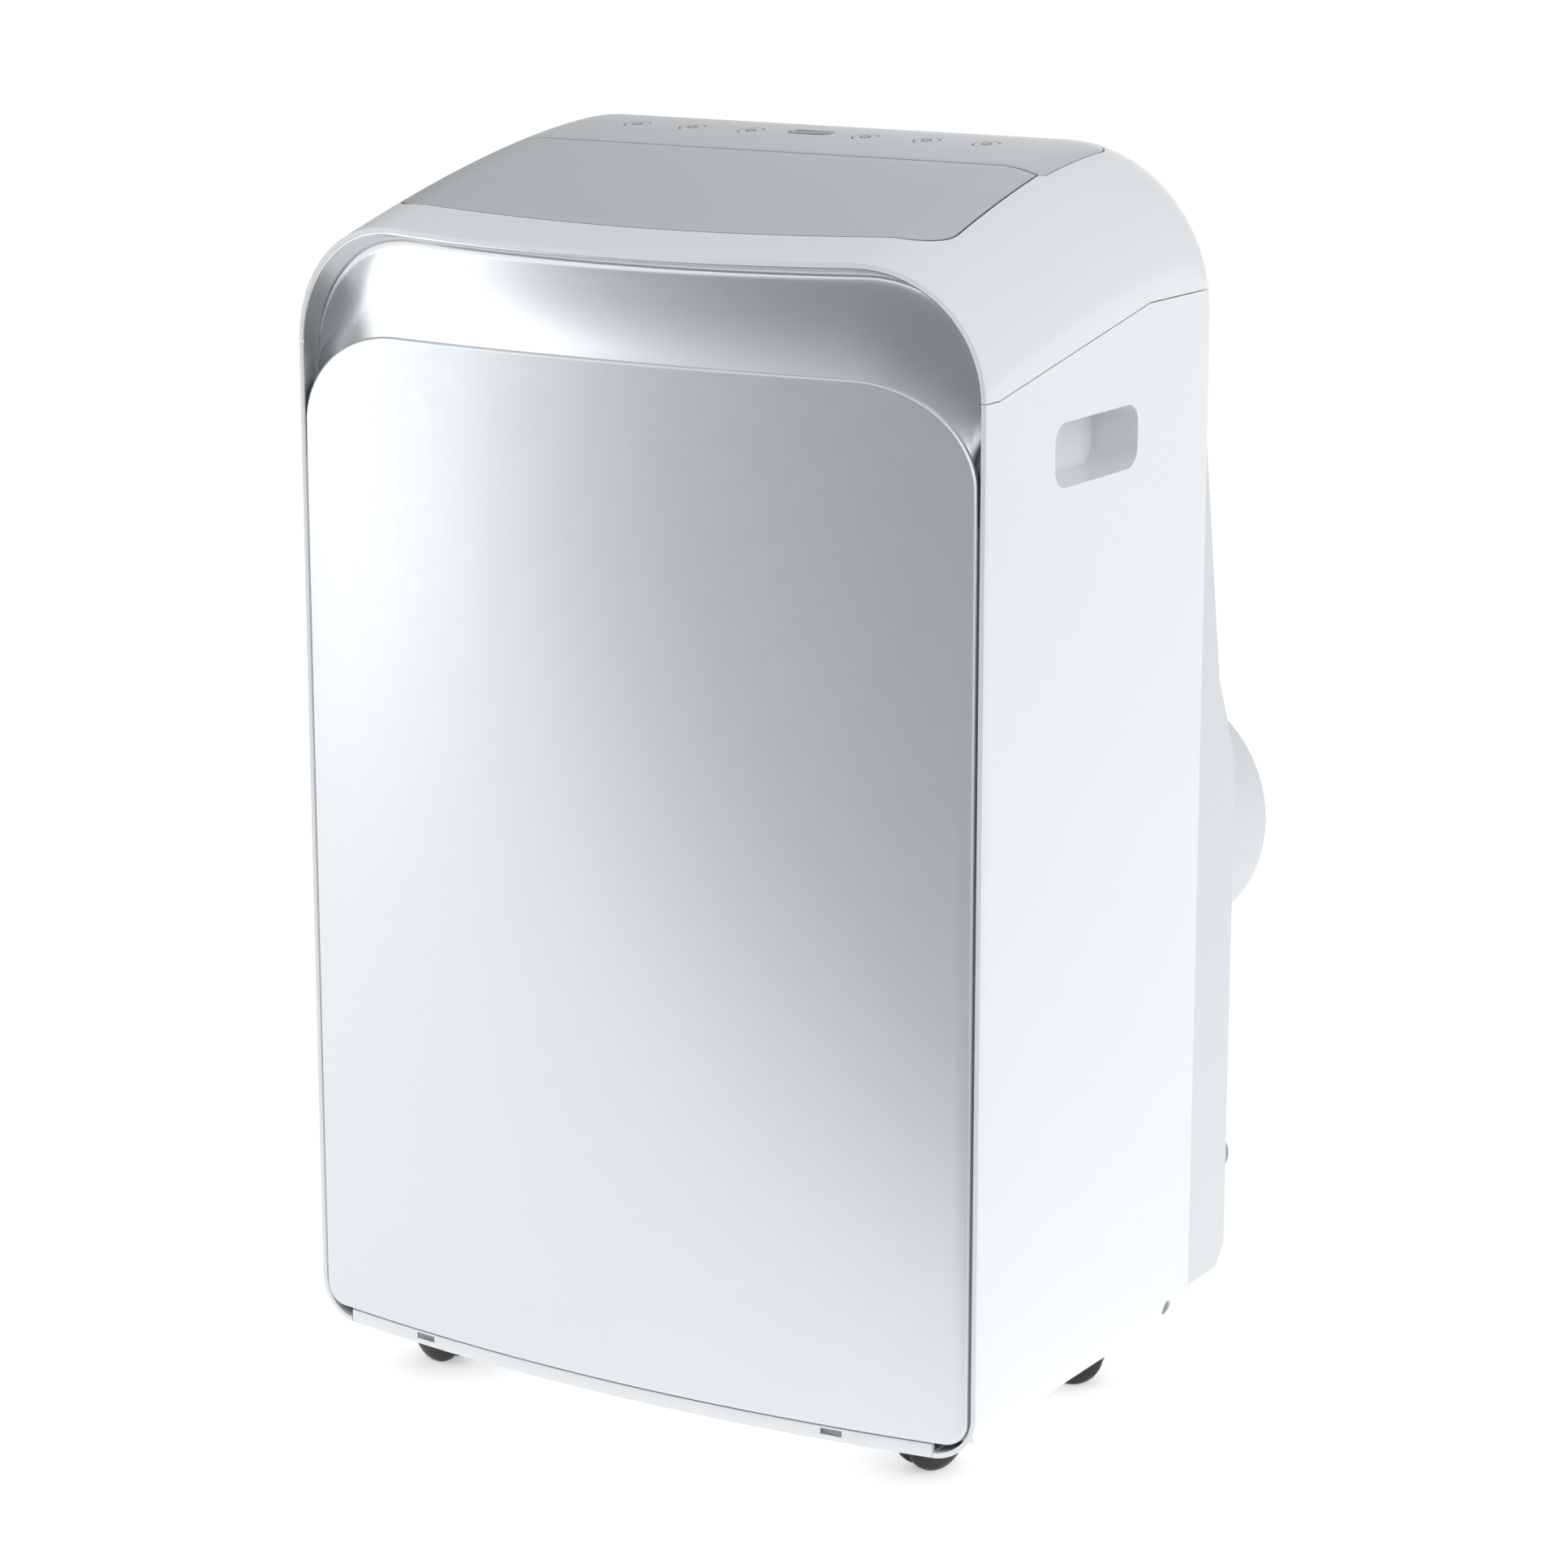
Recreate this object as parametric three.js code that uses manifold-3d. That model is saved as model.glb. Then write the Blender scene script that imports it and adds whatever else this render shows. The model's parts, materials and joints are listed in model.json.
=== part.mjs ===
// Portable air conditioner on four twin-wheel casters: moulded casing, bowed front panel, swinging top
// louvre, rear grilles and exhaust outlet, and the refrigeration parts inside it.
// Millimetres, +Z up. The front faces -Y. The origin is on the floor, under the middle of the bounding box.
import * as THREE from 'three';
import { mergeVertices } from 'three/addons/utils/BufferGeometryUtils.js';
import Module from 'manifold-3d';

const wasm = await Module();
wasm.setup();

// ---- Driving dimensions ----
const WIDTH = 467;
const DEPTH = 397;
const HEIGHT = 765;
const WALL = 3;
const GAP = 0.6; // between neighbouring mouldings
const HALF = WIDTH / 2;
const BOW = 22; // how far the middle of the front stands ahead of its edges
const FRONT_Y = -DEPTH / 2; // foremost point, in the middle of the front panel
const RIM_Y = FRONT_Y + BOW; // front edge at the sides
const RIM_SETBACK = 1.2; // the rim of the casing sits this far behind the face of the front panel
const CASING_BOTTOM = 35;
const CASING_REAR_Y = 91.5;
const TOP_RADIUS = 78; // the crown's rounding, seen from the front
const BOTTOM_RADIUS = 26;
const SEAM_FRONT_Z = 645; // joint between top shell and side panels
const SEAM_REAR_Z = 679;
const SEAM_BEND_Y = [-160, 15]; // the joint climbs between these two
// Height of the crown from the back to the front, as [y, z].
const CROWN = [
  [CASING_REAR_Y, 742], [84, 753], [68, 762], [48, HEIGHT], [0, 761], [-26, 756.5],
  [-90, 744], [-146, 729.5], [-176, 720], [-200, 710], [-215, 703],
];

const HOUSING_HALF = 228; // rear housing
const HOUSING_REAR_Y = 161;
const HOUSING_BOTTOM = 56;
const SLOPE_TOP = [CASING_REAR_Y, 654]; // sloping intake face, as [y, z]
const SLOPE_FOOT = [127, 437];
const SHOULDER_Z = 385;
const EXHAUST = { x: 146, z: 333, radius: 82, bore: 76 };
const EXHAUST_REAR_Y = DEPTH / 2;
const DRAIN = { x: 205, z: 122 };

const PANEL = { half: 228.8, bottom: 44, top: 654, thick: 3.5, cornerX: 74, cornerZ: 58, foot: 14 };
const FLAP = { halfRear: 181, halfFront: 187, rearY: -27.2, frontY: -146, bow: 16, corner: 20, thick: 3 };
const FLAP_AXIS = { y: -57.2, z: 738 };
const FLAP_SWEEP = 36; // reach of the louvre's tail behind its axis
const FLAP_REAR_GAP = 2.2; // room for the rear edge to swing down
const CONTROL = { half: 184, frontY: -25, rearY: 60, thick: 2.5 };
const KEYS = [-122, -82, -40, 40, 82, 122]; // across the control panel
const KEY = { radius: 8, y: 20, names: ['timer', 'sleep', 'down', 'up', 'fan', 'power'] };
const DISPLAY = { half: 15, y: 24, radius: 6 };
const DUCT = { half: 172, frontY: -149.5, rearY: -18, bottom: 692 };
const VANES = [-136, -68, 0, 68, 136];
const VANE = { axisZ: 706, above: 9, below: 8, reach: 10, pinRadius: 1.6 };
const HANDLE = { frontY: -96.5, rearY: 2.5, bottom: 586, top: 623, deep: 30, radius: 12 };
const CASTERS = [
  { name: 'front_right', x: 165, y: -128, turn: 65 }, { name: 'front_left', x: -165, y: -128, turn: 170 },
  { name: 'rear_right', x: 165, y: 45, turn: 20 }, { name: 'rear_left', x: -165, y: 45, turn: 110 },
];
const WHEEL = { radius: 20, trail: 12, inner: 4, outer: 12.5, axle: 2.5, sides: 20 };
const WELL = { radius: 39.5, ceiling: 54 };

// ---- Materials ----
const material = (color, roughness, metalness = 0) =>
  new THREE.MeshStandardMaterial({ color, roughness, metalness });
const whiteGloss = material(0xf3f4f5, 0.3);
const pearl = material(0xd9dde1, 0.25, 0.2);
const silver = material(0xb9bdc2, 0.3, 0.6);
const keyGrey = material(0xc9ccd0, 0.4);
const darkPlastic = material(0x2a2b2e, 0.45);
const greyPlastic = material(0x8d9094, 0.5);
const rubber = material(0x17181a, 0.6);
const zinc = material(0x9ea3a6, 0.5, 0.8);
const fins = material(0xc7cbcc, 0.4, 0.9);
const copper = material(0xb8703f, 0.3, 1);
const blackPaint = material(0x1b1c1e, 0.4, 0.3);
const filterNet = material(0x3d4247, 0.8);

// ---- Solid helpers ----
function solid(geometry) {
  geometry.deleteAttribute('normal');
  geometry.deleteAttribute('uv');
  const merged = mergeVertices(geometry, 1e-4);
  return new wasm.Manifold(new wasm.Mesh({
    numProp: 3,
    vertProperties: merged.attributes.position.array,
    triVerts: new Uint32Array(merged.index.array),
  }));
}

function geometryOf(body) {
  const mesh = body.getMesh();
  const geometry = new THREE.BufferGeometry();
  geometry.setAttribute('position', new THREE.BufferAttribute(Float32Array.from(mesh.vertProperties), 3));
  geometry.setIndex(new THREE.BufferAttribute(Uint32Array.from(mesh.triVerts), 1));
  const flat = geometry.toNonIndexed();
  flat.computeVertexNormals();
  return flat;
}

const join = (...bodies) => bodies.reduce((a, b) => a.add(b));
const cut = (body, ...tools) => tools.reduce((a, b) => a.subtract(b), body);
const common = (...bodies) => bodies.reduce((a, b) => a.intersect(b));

function box(x0, x1, y0, y1, z0, z1) {
  const geometry = new THREE.BoxGeometry(x1 - x0, y1 - y0, z1 - z0);
  return solid(geometry.translate((x0 + x1) / 2, (y0 + y1) / 2, (z0 + z1) / 2));
}

// A cylinder whose axis runs along 'x', 'y' or 'z' from one coordinate to another, through the point (a, b).
function rod(axis, radius, from, to, a, b, sides = 24, endRadius = radius) {
  const geometry = new THREE.CylinderGeometry(endRadius, radius, to - from, sides);
  geometry.rotateY(Math.PI / sides).translate(0, (from + to) / 2, 0);
  if (axis === 'x') geometry.rotateZ(-Math.PI / 2).translate(0, a, b);
  if (axis === 'y') geometry.translate(a, 0, b);
  if (axis === 'z') geometry.rotateX(Math.PI / 2).translate(a, b, 0);
  return solid(geometry);
}

const AXES = {
  x: new THREE.Matrix4().makeBasis(
    new THREE.Vector3(0, 1, 0), new THREE.Vector3(0, 0, 1), new THREE.Vector3(1, 0, 0)),
  y: new THREE.Matrix4().makeBasis(
    new THREE.Vector3(1, 0, 0), new THREE.Vector3(0, 0, 1), new THREE.Vector3(0, -1, 0)),
  z: new THREE.Matrix4(),
};

// A prism along an axis. Its shape is drawn in (y, z) for x, in (x, z) for y and in (x, y) for z.
function prism(axis, shape, from, to, curveSegments = 4) {
  const geometry = new THREE.ExtrudeGeometry(shape, { depth: to - from, bevelEnabled: false, curveSegments });
  geometry.translate(0, 0, axis === 'y' ? -to : from);
  return solid(geometry.applyMatrix4(AXES[axis]));
}

const polygon = (points) => new THREE.Shape(points.map(([a, b]) => new THREE.Vector2(a, b)));

function roundedRectangle(a0, a1, b0, b1, lower, upper = lower, upperB = upper) {
  const shape = new THREE.Shape();
  shape.absarc(a1 - lower, b0 + lower, lower, -Math.PI / 2, 0);
  shape.absellipse(a1 - upper, b1 - upperB, upper, upperB, 0, Math.PI / 2);
  shape.absellipse(a0 + upper, b1 - upperB, upper, upperB, Math.PI / 2, Math.PI);
  shape.absarc(a0 + lower, b0 + lower, lower, Math.PI, Math.PI * 1.5);
  return shape;
}

// ---- Casing surfaces ----
const bowAt = (x) => RIM_Y - BOW * (1 - (x / HALF) ** 2);

// The casing as a solid, shrunk by inset: the front outline, run from back to front under the crown.
function casingBody(inset) {
  const outline = roundedRectangle(-HALF + inset, HALF - inset, CASING_BOTTOM + inset, HEIGHT - inset,
    BOTTOM_RADIUS - inset, TOP_RADIUS - inset);
  const last = CROWN.length - 1;
  const settings = { depth: last, steps: last, bevelEnabled: false, curveSegments: 4 };
  const geometry = new THREE.ExtrudeGeometry(outline, settings);
  const place = geometry.attributes.position;
  const kneeZ = HEIGHT / 2;
  for (let i = 0; i < place.count; i++) {
    const [y, crown] = CROWN[Math.round(place.getZ(i))];
    const height = place.getY(i);
    const rear = y === CASING_REAR_Y ? y - inset : y;
    place.setXYZ(i, place.getX(i), rear, height > kneeZ ? height + crown - HEIGHT : height);
  }
  return solid(geometry);
}

// Everything behind the bowed front, moved back by setback.
function behindFront(setback) {
  const columns = 12;
  const reach = HALF + 20;
  const points = [];
  for (let i = 0; i <= columns; i++) {
    const x = -reach + (2 * reach * i) / columns;
    points.push([x, bowAt(x) + setback]);
  }
  return prism('z', polygon([...points, [reach, 300], [-reach, 300]]), 0, HEIGHT + 40);
}

// Everything above the joint line of the casing, raised by lift.
const aboveSeam = (lift) => prism('x', polygon([
  [-300, SEAM_FRONT_Z + lift], [SEAM_BEND_Y[0], SEAM_FRONT_Z + lift], [SEAM_BEND_Y[1], SEAM_REAR_Z + lift],
  [300, SEAM_REAR_Z + lift], [300, HEIGHT + 60], [-300, HEIGHT + 60],
]), -300, 300);

const skin = (depth) => cut(casingBody(0), casingBody(depth));

// The louvre's outline seen from above, grown by grow.
function flapOutline(grow, rearGrow = grow) {
  const { halfRear, halfFront, rearY, frontY, bow, corner } = FLAP;
  const shape = new THREE.Shape();
  const front = frontY - grow;
  shape.moveTo(halfRear + grow, rearY + rearGrow);
  shape.lineTo(-halfRear - grow, rearY + rearGrow);
  shape.lineTo(-halfFront - grow, front + corner);
  shape.quadraticCurveTo(-halfFront - grow, front, -halfFront - grow + corner, front - 3);
  shape.quadraticCurveTo(0, front - 2 * bow + 3, halfFront + grow - corner, front - 3);
  shape.quadraticCurveTo(halfFront + grow, front, halfFront + grow, front + corner);
  return shape;
}
const controlOutline = (grow) => roundedRectangle(
  -CONTROL.half - grow, CONTROL.half + grow, CONTROL.frontY - grow, CONTROL.rearY + grow, 4 + grow, 16 + grow);

// ---- Assembly ----
const airConditioner = new THREE.Group();

function add(name, body, look, parent = airConditioner) {
  const mesh = new THREE.Mesh(geometryOf(body), look);
  mesh.name = name;
  parent.add(mesh);
  return mesh;
}

function buildCasing() {
  const shell = common(skin(WALL), behindFront(RIM_SETBACK));
  const flapHole = common(prism('z', flapOutline(0.8, FLAP_REAR_GAP), 600, 800));
  const controlHole = prism('z', controlOutline(GAP), 700, 800);
  add('top_shell', cut(common(shell, aboveSeam(0)), flapHole, controlHole), whiteGloss);

  const lower = cut(shell, aboveSeam(-GAP), box(-222, 222, 80, 100, 0, 800));
  const { frontY, rearY, bottom, top, deep, radius } = HANDLE;
  for (const [side, name] of [[1, 'right'], [-1, 'left']]) {
    const span = (a, b) => (side > 0 ? [a, b] : [-b, -a]);
    const wall = common(lower, box(...span(HALF - 25, HALF + 5), -300, 300, 0, 800));
    const cup = box(
      ...span(HALF - deep - 2.5, HALF - 1), frontY - 2.5, rearY + 2.5, bottom - 2.5, top + 2.5);
    const mouth = roundedRectangle(frontY, rearY, bottom, top, radius);
    const pocket = prism('x', mouth, ...span(HALF - deep, HALF + 5));
    const screwHole = rod('x', 4.6, ...span(HALF - 12, HALF + 5), 64.5, 54, 12);
    add(`${name}_side_panel`, cut(join(wall, cup), pocket, screwHole), whiteGloss);
    add(`${name}_side_screw`, rod('x', 4, ...span(HALF - 8, HALF - 2), 64.5, 54, 12), zinc);
  }
}

// Distance of a point from the inside of a round-shouldered outline.
function shoulderDistance(x, z, half, top, radius) {
  const across = Math.max(Math.abs(x) - (half - radius), 0);
  const up = Math.max(z - (top - radius), 0);
  return radius - Math.hypot(across, up);
}

// How far the front frame lies behind the bowed face: a scooped band above the front panel, flat below it.
function frameDepth(x, z) {
  const toRim = Math.max(shoulderDistance(x, z, HALF - WALL, 712, TOP_RADIUS), 0);
  const toPanel = Math.max(-shoulderDistance(x, z, PANEL.half, PANEL.top, 66), 0);
  const share = toRim / Math.max(toRim + toPanel, 1);
  const broad = Math.min((toRim + toPanel) / 55, 1);
  return 5.5 + 13 * broad * Math.sin(Math.PI * Math.min(share, 1) * 0.92);
}

function buildFront() {
  const columns = 14;
  const rows = [HEIGHT, 714, 704, 692, 680, 666, 654, 638, 620, 595, 30];
  const slab = new THREE.BoxGeometry(2 * HALF, 1, rows.length - 1, columns, 1, rows.length - 1);
  const place = slab.attributes.position;
  for (let i = 0; i < place.count; i++) {
    const x = place.getX(i);
    const z = rows[Math.round((rows.length - 1) / 2 - place.getZ(i))];
    const back = place.getY(i) > 0 ? 2.5 : 0;
    place.setXYZ(i, x, bowAt(x) + frameDepth(x, z) + back, z);
  }
  const border = cut(common(casingBody(WALL + GAP), behindFront(4.6)), casingBody(WALL + GAP + 2.5),
    box(-300, 300, -150, 300, 0, 800), box(-300, 300, -300, 0, 0, 90));
  const band = common(solid(slab), casingBody(WALL + GAP));
  const notches = [-145, 145].map((x) => box(x - 7, x + 7, FRONT_Y - 5, FRONT_Y + 26, 38, 42.4));
  add('front_frame', cut(join(band, border), ...notches), silver);

  const plate = new THREE.BoxGeometry(2 * PANEL.half + 4, PANEL.thick, PANEL.top, columns, 1, 1);
  const spot = plate.attributes.position;
  for (let i = 0; i < spot.count; i++) {
    const x = spot.getX(i);
    spot.setXYZ(i, x, spot.getY(i) + PANEL.thick / 2 + bowAt(x), spot.getZ(i) + PANEL.top / 2 + 20);
  }
  const outline = roundedRectangle(
    -PANEL.half, PANEL.half, PANEL.bottom, PANEL.top, PANEL.foot, PANEL.cornerX, PANEL.cornerZ);
  add('front_panel', common(solid(plate), prism('y', outline, FRONT_Y - 20, 0)), pearl);
}

function buildTop() {
  // Louvre: a piece of the crown with two lugs and pins, and a bevelled rear edge.
  const lug = (x) => box(x - 1.5, x + 1.5, FLAP_AXIS.y - 5, FLAP_AXIS.y + 5, FLAP_AXIS.z - 4, 749);
  const chamfer = [[FLAP.rearY - 2.6, 757.5], [FLAP.rearY + 4, 750.9], [FLAP.rearY + 4, 770]];
  const bevel = prism('x', polygon(chamfer), -300, 300);
  const blade = cut(common(skin(FLAP.thick), prism('z', flapOutline(0), 600, 800)), bevel);
  const pin = (x0, x1) => rod('x', 1.6, x0, x1, FLAP_AXIS.y, FLAP_AXIS.z, 10);
  add('louvre_flap', join(blade, lug(150), lug(-150), pin(150, 170.5), pin(-170.5, -150)), pearl);

  const inside = casingBody(FLAP.thick + 1.2);
  const duct = cut(box(-DUCT.half, DUCT.half, DUCT.frontY, DUCT.rearY, DUCT.bottom, 760),
    box(-DUCT.half + 3, DUCT.half - 3, DUCT.frontY + 3, DUCT.rearY - 3, 600, 800),
    rod('x', 2, -180, 180, FLAP_AXIS.y, FLAP_AXIS.z, 10));
  // The side walls are notched behind the axis, so that the louvre's tail can swing down past them.
  const notch = common(cut(rod('x', FLAP_SWEEP, -300, 300, FLAP_AXIS.y, FLAP_AXIS.z, 32),
    rod('x', 6.5, -300, 300, FLAP_AXIS.y, FLAP_AXIS.z, 16)),
    box(-300, 300, FLAP_AXIS.y - 1, DUCT.rearY - 3, FLAP_AXIS.z - 27, 800));
  const vaneHoles = VANES.map((x) => rod('y', 2.1, DUCT.frontY - 2, DUCT.rearY + 2, x, VANE.axisZ, 10));
  add('air_outlet_duct', cut(common(duct, inside), notch, ...vaneHoles), whiteGloss);

  const linkY = -60;
  VANES.forEach((x, i) => {
    const blade = box(x - 1, x + 1, DUCT.frontY + 5, DUCT.rearY - 5,
      VANE.axisZ - VANE.below, VANE.axisZ + VANE.above);
    const pins = rod('y', VANE.pinRadius, DUCT.frontY + 1, DUCT.rearY - 1, x, VANE.axisZ, 10);
    const ear = box(x - 1, x + 1, linkY + 1.8, linkY + 6, VANE.axisZ - VANE.reach - 6, VANE.axisZ - 7);
    const peg = rod('y', 1.2, linkY - 2.5, linkY + 3, x, VANE.axisZ - VANE.reach - 4, 8);
    add(`air_vane_${i + 1}`, join(blade, pins, ear, peg), darkPlastic);
  });
  const end = VANES[VANES.length - 1] + 6;
  const low = VANE.axisZ - VANE.reach - 4;
  const link = box(-end, end, linkY - 1, linkY + 1, low - 3.2, low + 4.6);
  const slots = VANES.map((x) => box(x - 1.6, x + 1.6, linkY - 3, linkY + 3, low - 1.6, low + 3.2));
  add('vane_link', cut(link, ...slots), darkPlastic);
  add('louvre_motor', join(rod('x', 14, 173, 189, FLAP_AXIS.y - 4, 716, 16),
    box(173, 176, FLAP_AXIS.y - 26, FLAP_AXIS.y + 6, 710, 722)), zinc);

  // Control panel, its display window and its keys all lie flush in the crown.
  const sheet = common(skin(CONTROL.thick), prism('z', controlOutline(0), 700, 800));
  const window = (grow) => {
    const [reach, radius] = [DISPLAY.half + grow, DISPLAY.radius + grow];
    const outline = roundedRectangle(-reach, reach, DISPLAY.y - radius, DISPLAY.y + radius, radius - 0.1);
    return prism('z', outline, 700, 800, 3);
  };
  const keyHoles = KEYS.map((x) => rod('z', KEY.radius + 0.4, 700, 800, x, KEY.y, 12));
  add('control_panel', cut(sheet, window(0.3), ...keyHoles), pearl);
  add('display_window', common(skin(CONTROL.thick), window(0)), darkPlastic);
  KEYS.forEach((x, i) => add(`${KEY.names[i]}_key`,
    common(skin(CONTROL.thick), rod('z', KEY.radius, 700, 800, x, KEY.y, 12)), keyGrey));
  add('control_box', cut(box(-120, 120, -8, 58, 700, 744), box(-117, 117, -5, 55, 703, 760)), greyPlastic);
}

const slope = Math.atan2(SLOPE_FOOT[0] - SLOPE_TOP[0], SLOPE_TOP[1] - SLOPE_FOOT[1]);

// A framed grille in the (x, z) plane, its outer face at y = 0, with level slats.
function grille(half, bottom, top, slats, thick) {
  const frame = cut(box(-half, half, -thick, 0, bottom, top), box(-half + 8, half - 8, -50, 50, bottom + 8, top - 8));
  const pitch = (top - bottom - 16) / (slats + 1);
  const bars = [];
  for (let i = 1; i <= slats; i++) {
    const z = bottom + 8 + i * pitch;
    bars.push(box(-half + 4, half - 4, -thick + 1, -0.5, z - pitch * 0.28, z + pitch * 0.28));
  }
  return join(frame, ...bars, box(-2, 2, -thick + 0.5, -0.5, bottom + 4, top - 4));
}

function filterFrame(half, bottom, top, y) {
  const net = box(-half, half, y - 1, y, bottom, top);
  const opening = box(-half + 6, half - 6, y - 9, y + 9, bottom + 6, top - 6);
  const edge = cut(box(-half, half, y - 3, y, bottom, top), opening);
  const ribs = [-half / 2, 0, half / 2].map((x) => box(x - 1.5, x + 1.5, y - 3, y, bottom + 3, top - 3));
  return join(net, edge, ...ribs);
}

function buildRear() {
  const profile = (inset) => polygon([
    [60, HOUSING_BOTTOM + inset], [HOUSING_REAR_Y - 8 - inset / 2, HOUSING_BOTTOM + inset],
    [HOUSING_REAR_Y - inset, HOUSING_BOTTOM + 10 + inset / 2], [HOUSING_REAR_Y - inset, SHOULDER_Z - inset / 2],
    [SLOPE_FOOT[0] - inset, SLOPE_FOOT[1] - inset / 2], [SLOPE_TOP[0] - inset * 0.9, SLOPE_TOP[1] - inset],
    [60, SLOPE_TOP[1] - inset],
  ]);
  const plan = (inset) => prism('z', roundedRectangle(
    -HOUSING_HALF + inset, HOUSING_HALF - inset, 40, HOUSING_REAR_Y - inset, 1, 14 - inset), 0, 800);
  const outside = common(prism('x', profile(0), -HOUSING_HALF, HOUSING_HALF), plan(0));
  const wide = common(outside, box(-300, 300, CASING_REAR_Y + 0.4, 300, 0, 800));
  const narrow = common(outside, box(-221.4, 221.4, 87.4, 300, 0, 800));
  const strip = box(-221.4, 221.4, 87.4, CASING_REAR_Y, 645, SEAM_REAR_Z - GAP);
  const hollow = common(prism('x', profile(WALL + 0.5), -HOUSING_HALF, HOUSING_HALF), plan(WALL));
  const { x, z, radius, bore } = EXHAUST;
  const boss = rod('y', radius, 130, EXHAUST_REAR_Y, x, z, 36);
  const openings = [
    rod('y', bore, 90, 210, x, z, 36), box(-201, 201, 70, 145, 455, 638), box(-166, 172, 150, 170, 82, 232),
    rod('y', 9, 150, 170, DRAIN.x, DRAIN.z, 16), rod('y', 6, 150, 170, -197, 100, 12),
  ];
  add('rear_casing', cut(join(cut(join(wide, narrow, strip), hollow), boss), ...openings), whiteGloss);

  const collar = cut(rod('y', bore - 0.5, 162, EXHAUST_REAR_Y - 2, x, z, 36), rod('y', bore - 6, 150, 200, x, z, 36));
  const bars = [-48, -24, 0, 24, 48].map((step) => {
    const reach = Math.sqrt(bore ** 2 - step ** 2) - 3;
    return box(x - reach, x + reach, 163, 165, z + step - 1.5, z + step + 1.5);
  });
  add('exhaust_collar', join(collar, ...bars), whiteGloss);

  const tilted = new THREE.Group();
  tilted.position.set(0, SLOPE_TOP[0], SLOPE_TOP[1]);
  tilted.rotation.x = slope;
  airConditioner.add(tilted);
  add('upper_grille', grille(199.8, -198, -18.5, 12, 5), whiteGloss, tilted);
  add('upper_filter', filterFrame(196, -194, -22, -5.6), filterNet, tilted);
  const low = new THREE.Group();
  low.position.set(3, HOUSING_REAR_Y, 0);
  airConditioner.add(low);
  add('lower_grille', grille(168.2, 82.8, 231.2, 10, 4), whiteGloss, low);
  add('lower_filter', filterFrame(164, 87, 227, -4.6), filterNet, low);

  add('drain_cap', join(rod('y', 16.5, HOUSING_REAR_Y + 0.5, HOUSING_REAR_Y + 8, DRAIN.x, DRAIN.z, 24),
    rod('y', 16.5, HOUSING_REAR_Y + 8, HOUSING_REAR_Y + 11, DRAIN.x, DRAIN.z, 24, 12),
    rod('y', 8, HOUSING_REAR_Y - 10, HOUSING_REAR_Y + 1, DRAIN.x, DRAIN.z, 16)), greyPlastic);
  const gland = join(rod('y', 10, HOUSING_REAR_Y + 0.4, HOUSING_REAR_Y + 6, -197, 100, 16),
    rod('y', 5.4, HOUSING_REAR_Y - 8, HOUSING_REAR_Y + 1, -197, 100, 12));
  add('cord_gland', cut(gland, rod('y', 3.6, 140, 170, -197, 100, 10)), darkPlastic);
  for (const [name, z, up] of [['upper', 350, 1], ['lower', 160, -1]]) {
    const y = HOUSING_REAR_Y + 0.4;
    add(`cord_hook_${name}`, join(box(-203, -191, y, y + 20, z - 5, z + 5),
      box(-203, -191, y + 15, y + 20, z - 5 - (up < 0 ? 22 : 0), z + 5 + (up > 0 ? 22 : 0)),
      box(-206, -188, y, y + 2, z - 8, z + 8)), whiteGloss);
  }
  add('plug_holder', cut(rod('y', 23, HOUSING_REAR_Y + 0.4, HOUSING_REAR_Y + 16, -140, 300, 24),
    rod('y', 19.5, HOUSING_REAR_Y + 3.4, HOUSING_REAR_Y + 30, -140, 300, 24)), whiteGloss);
}

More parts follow.
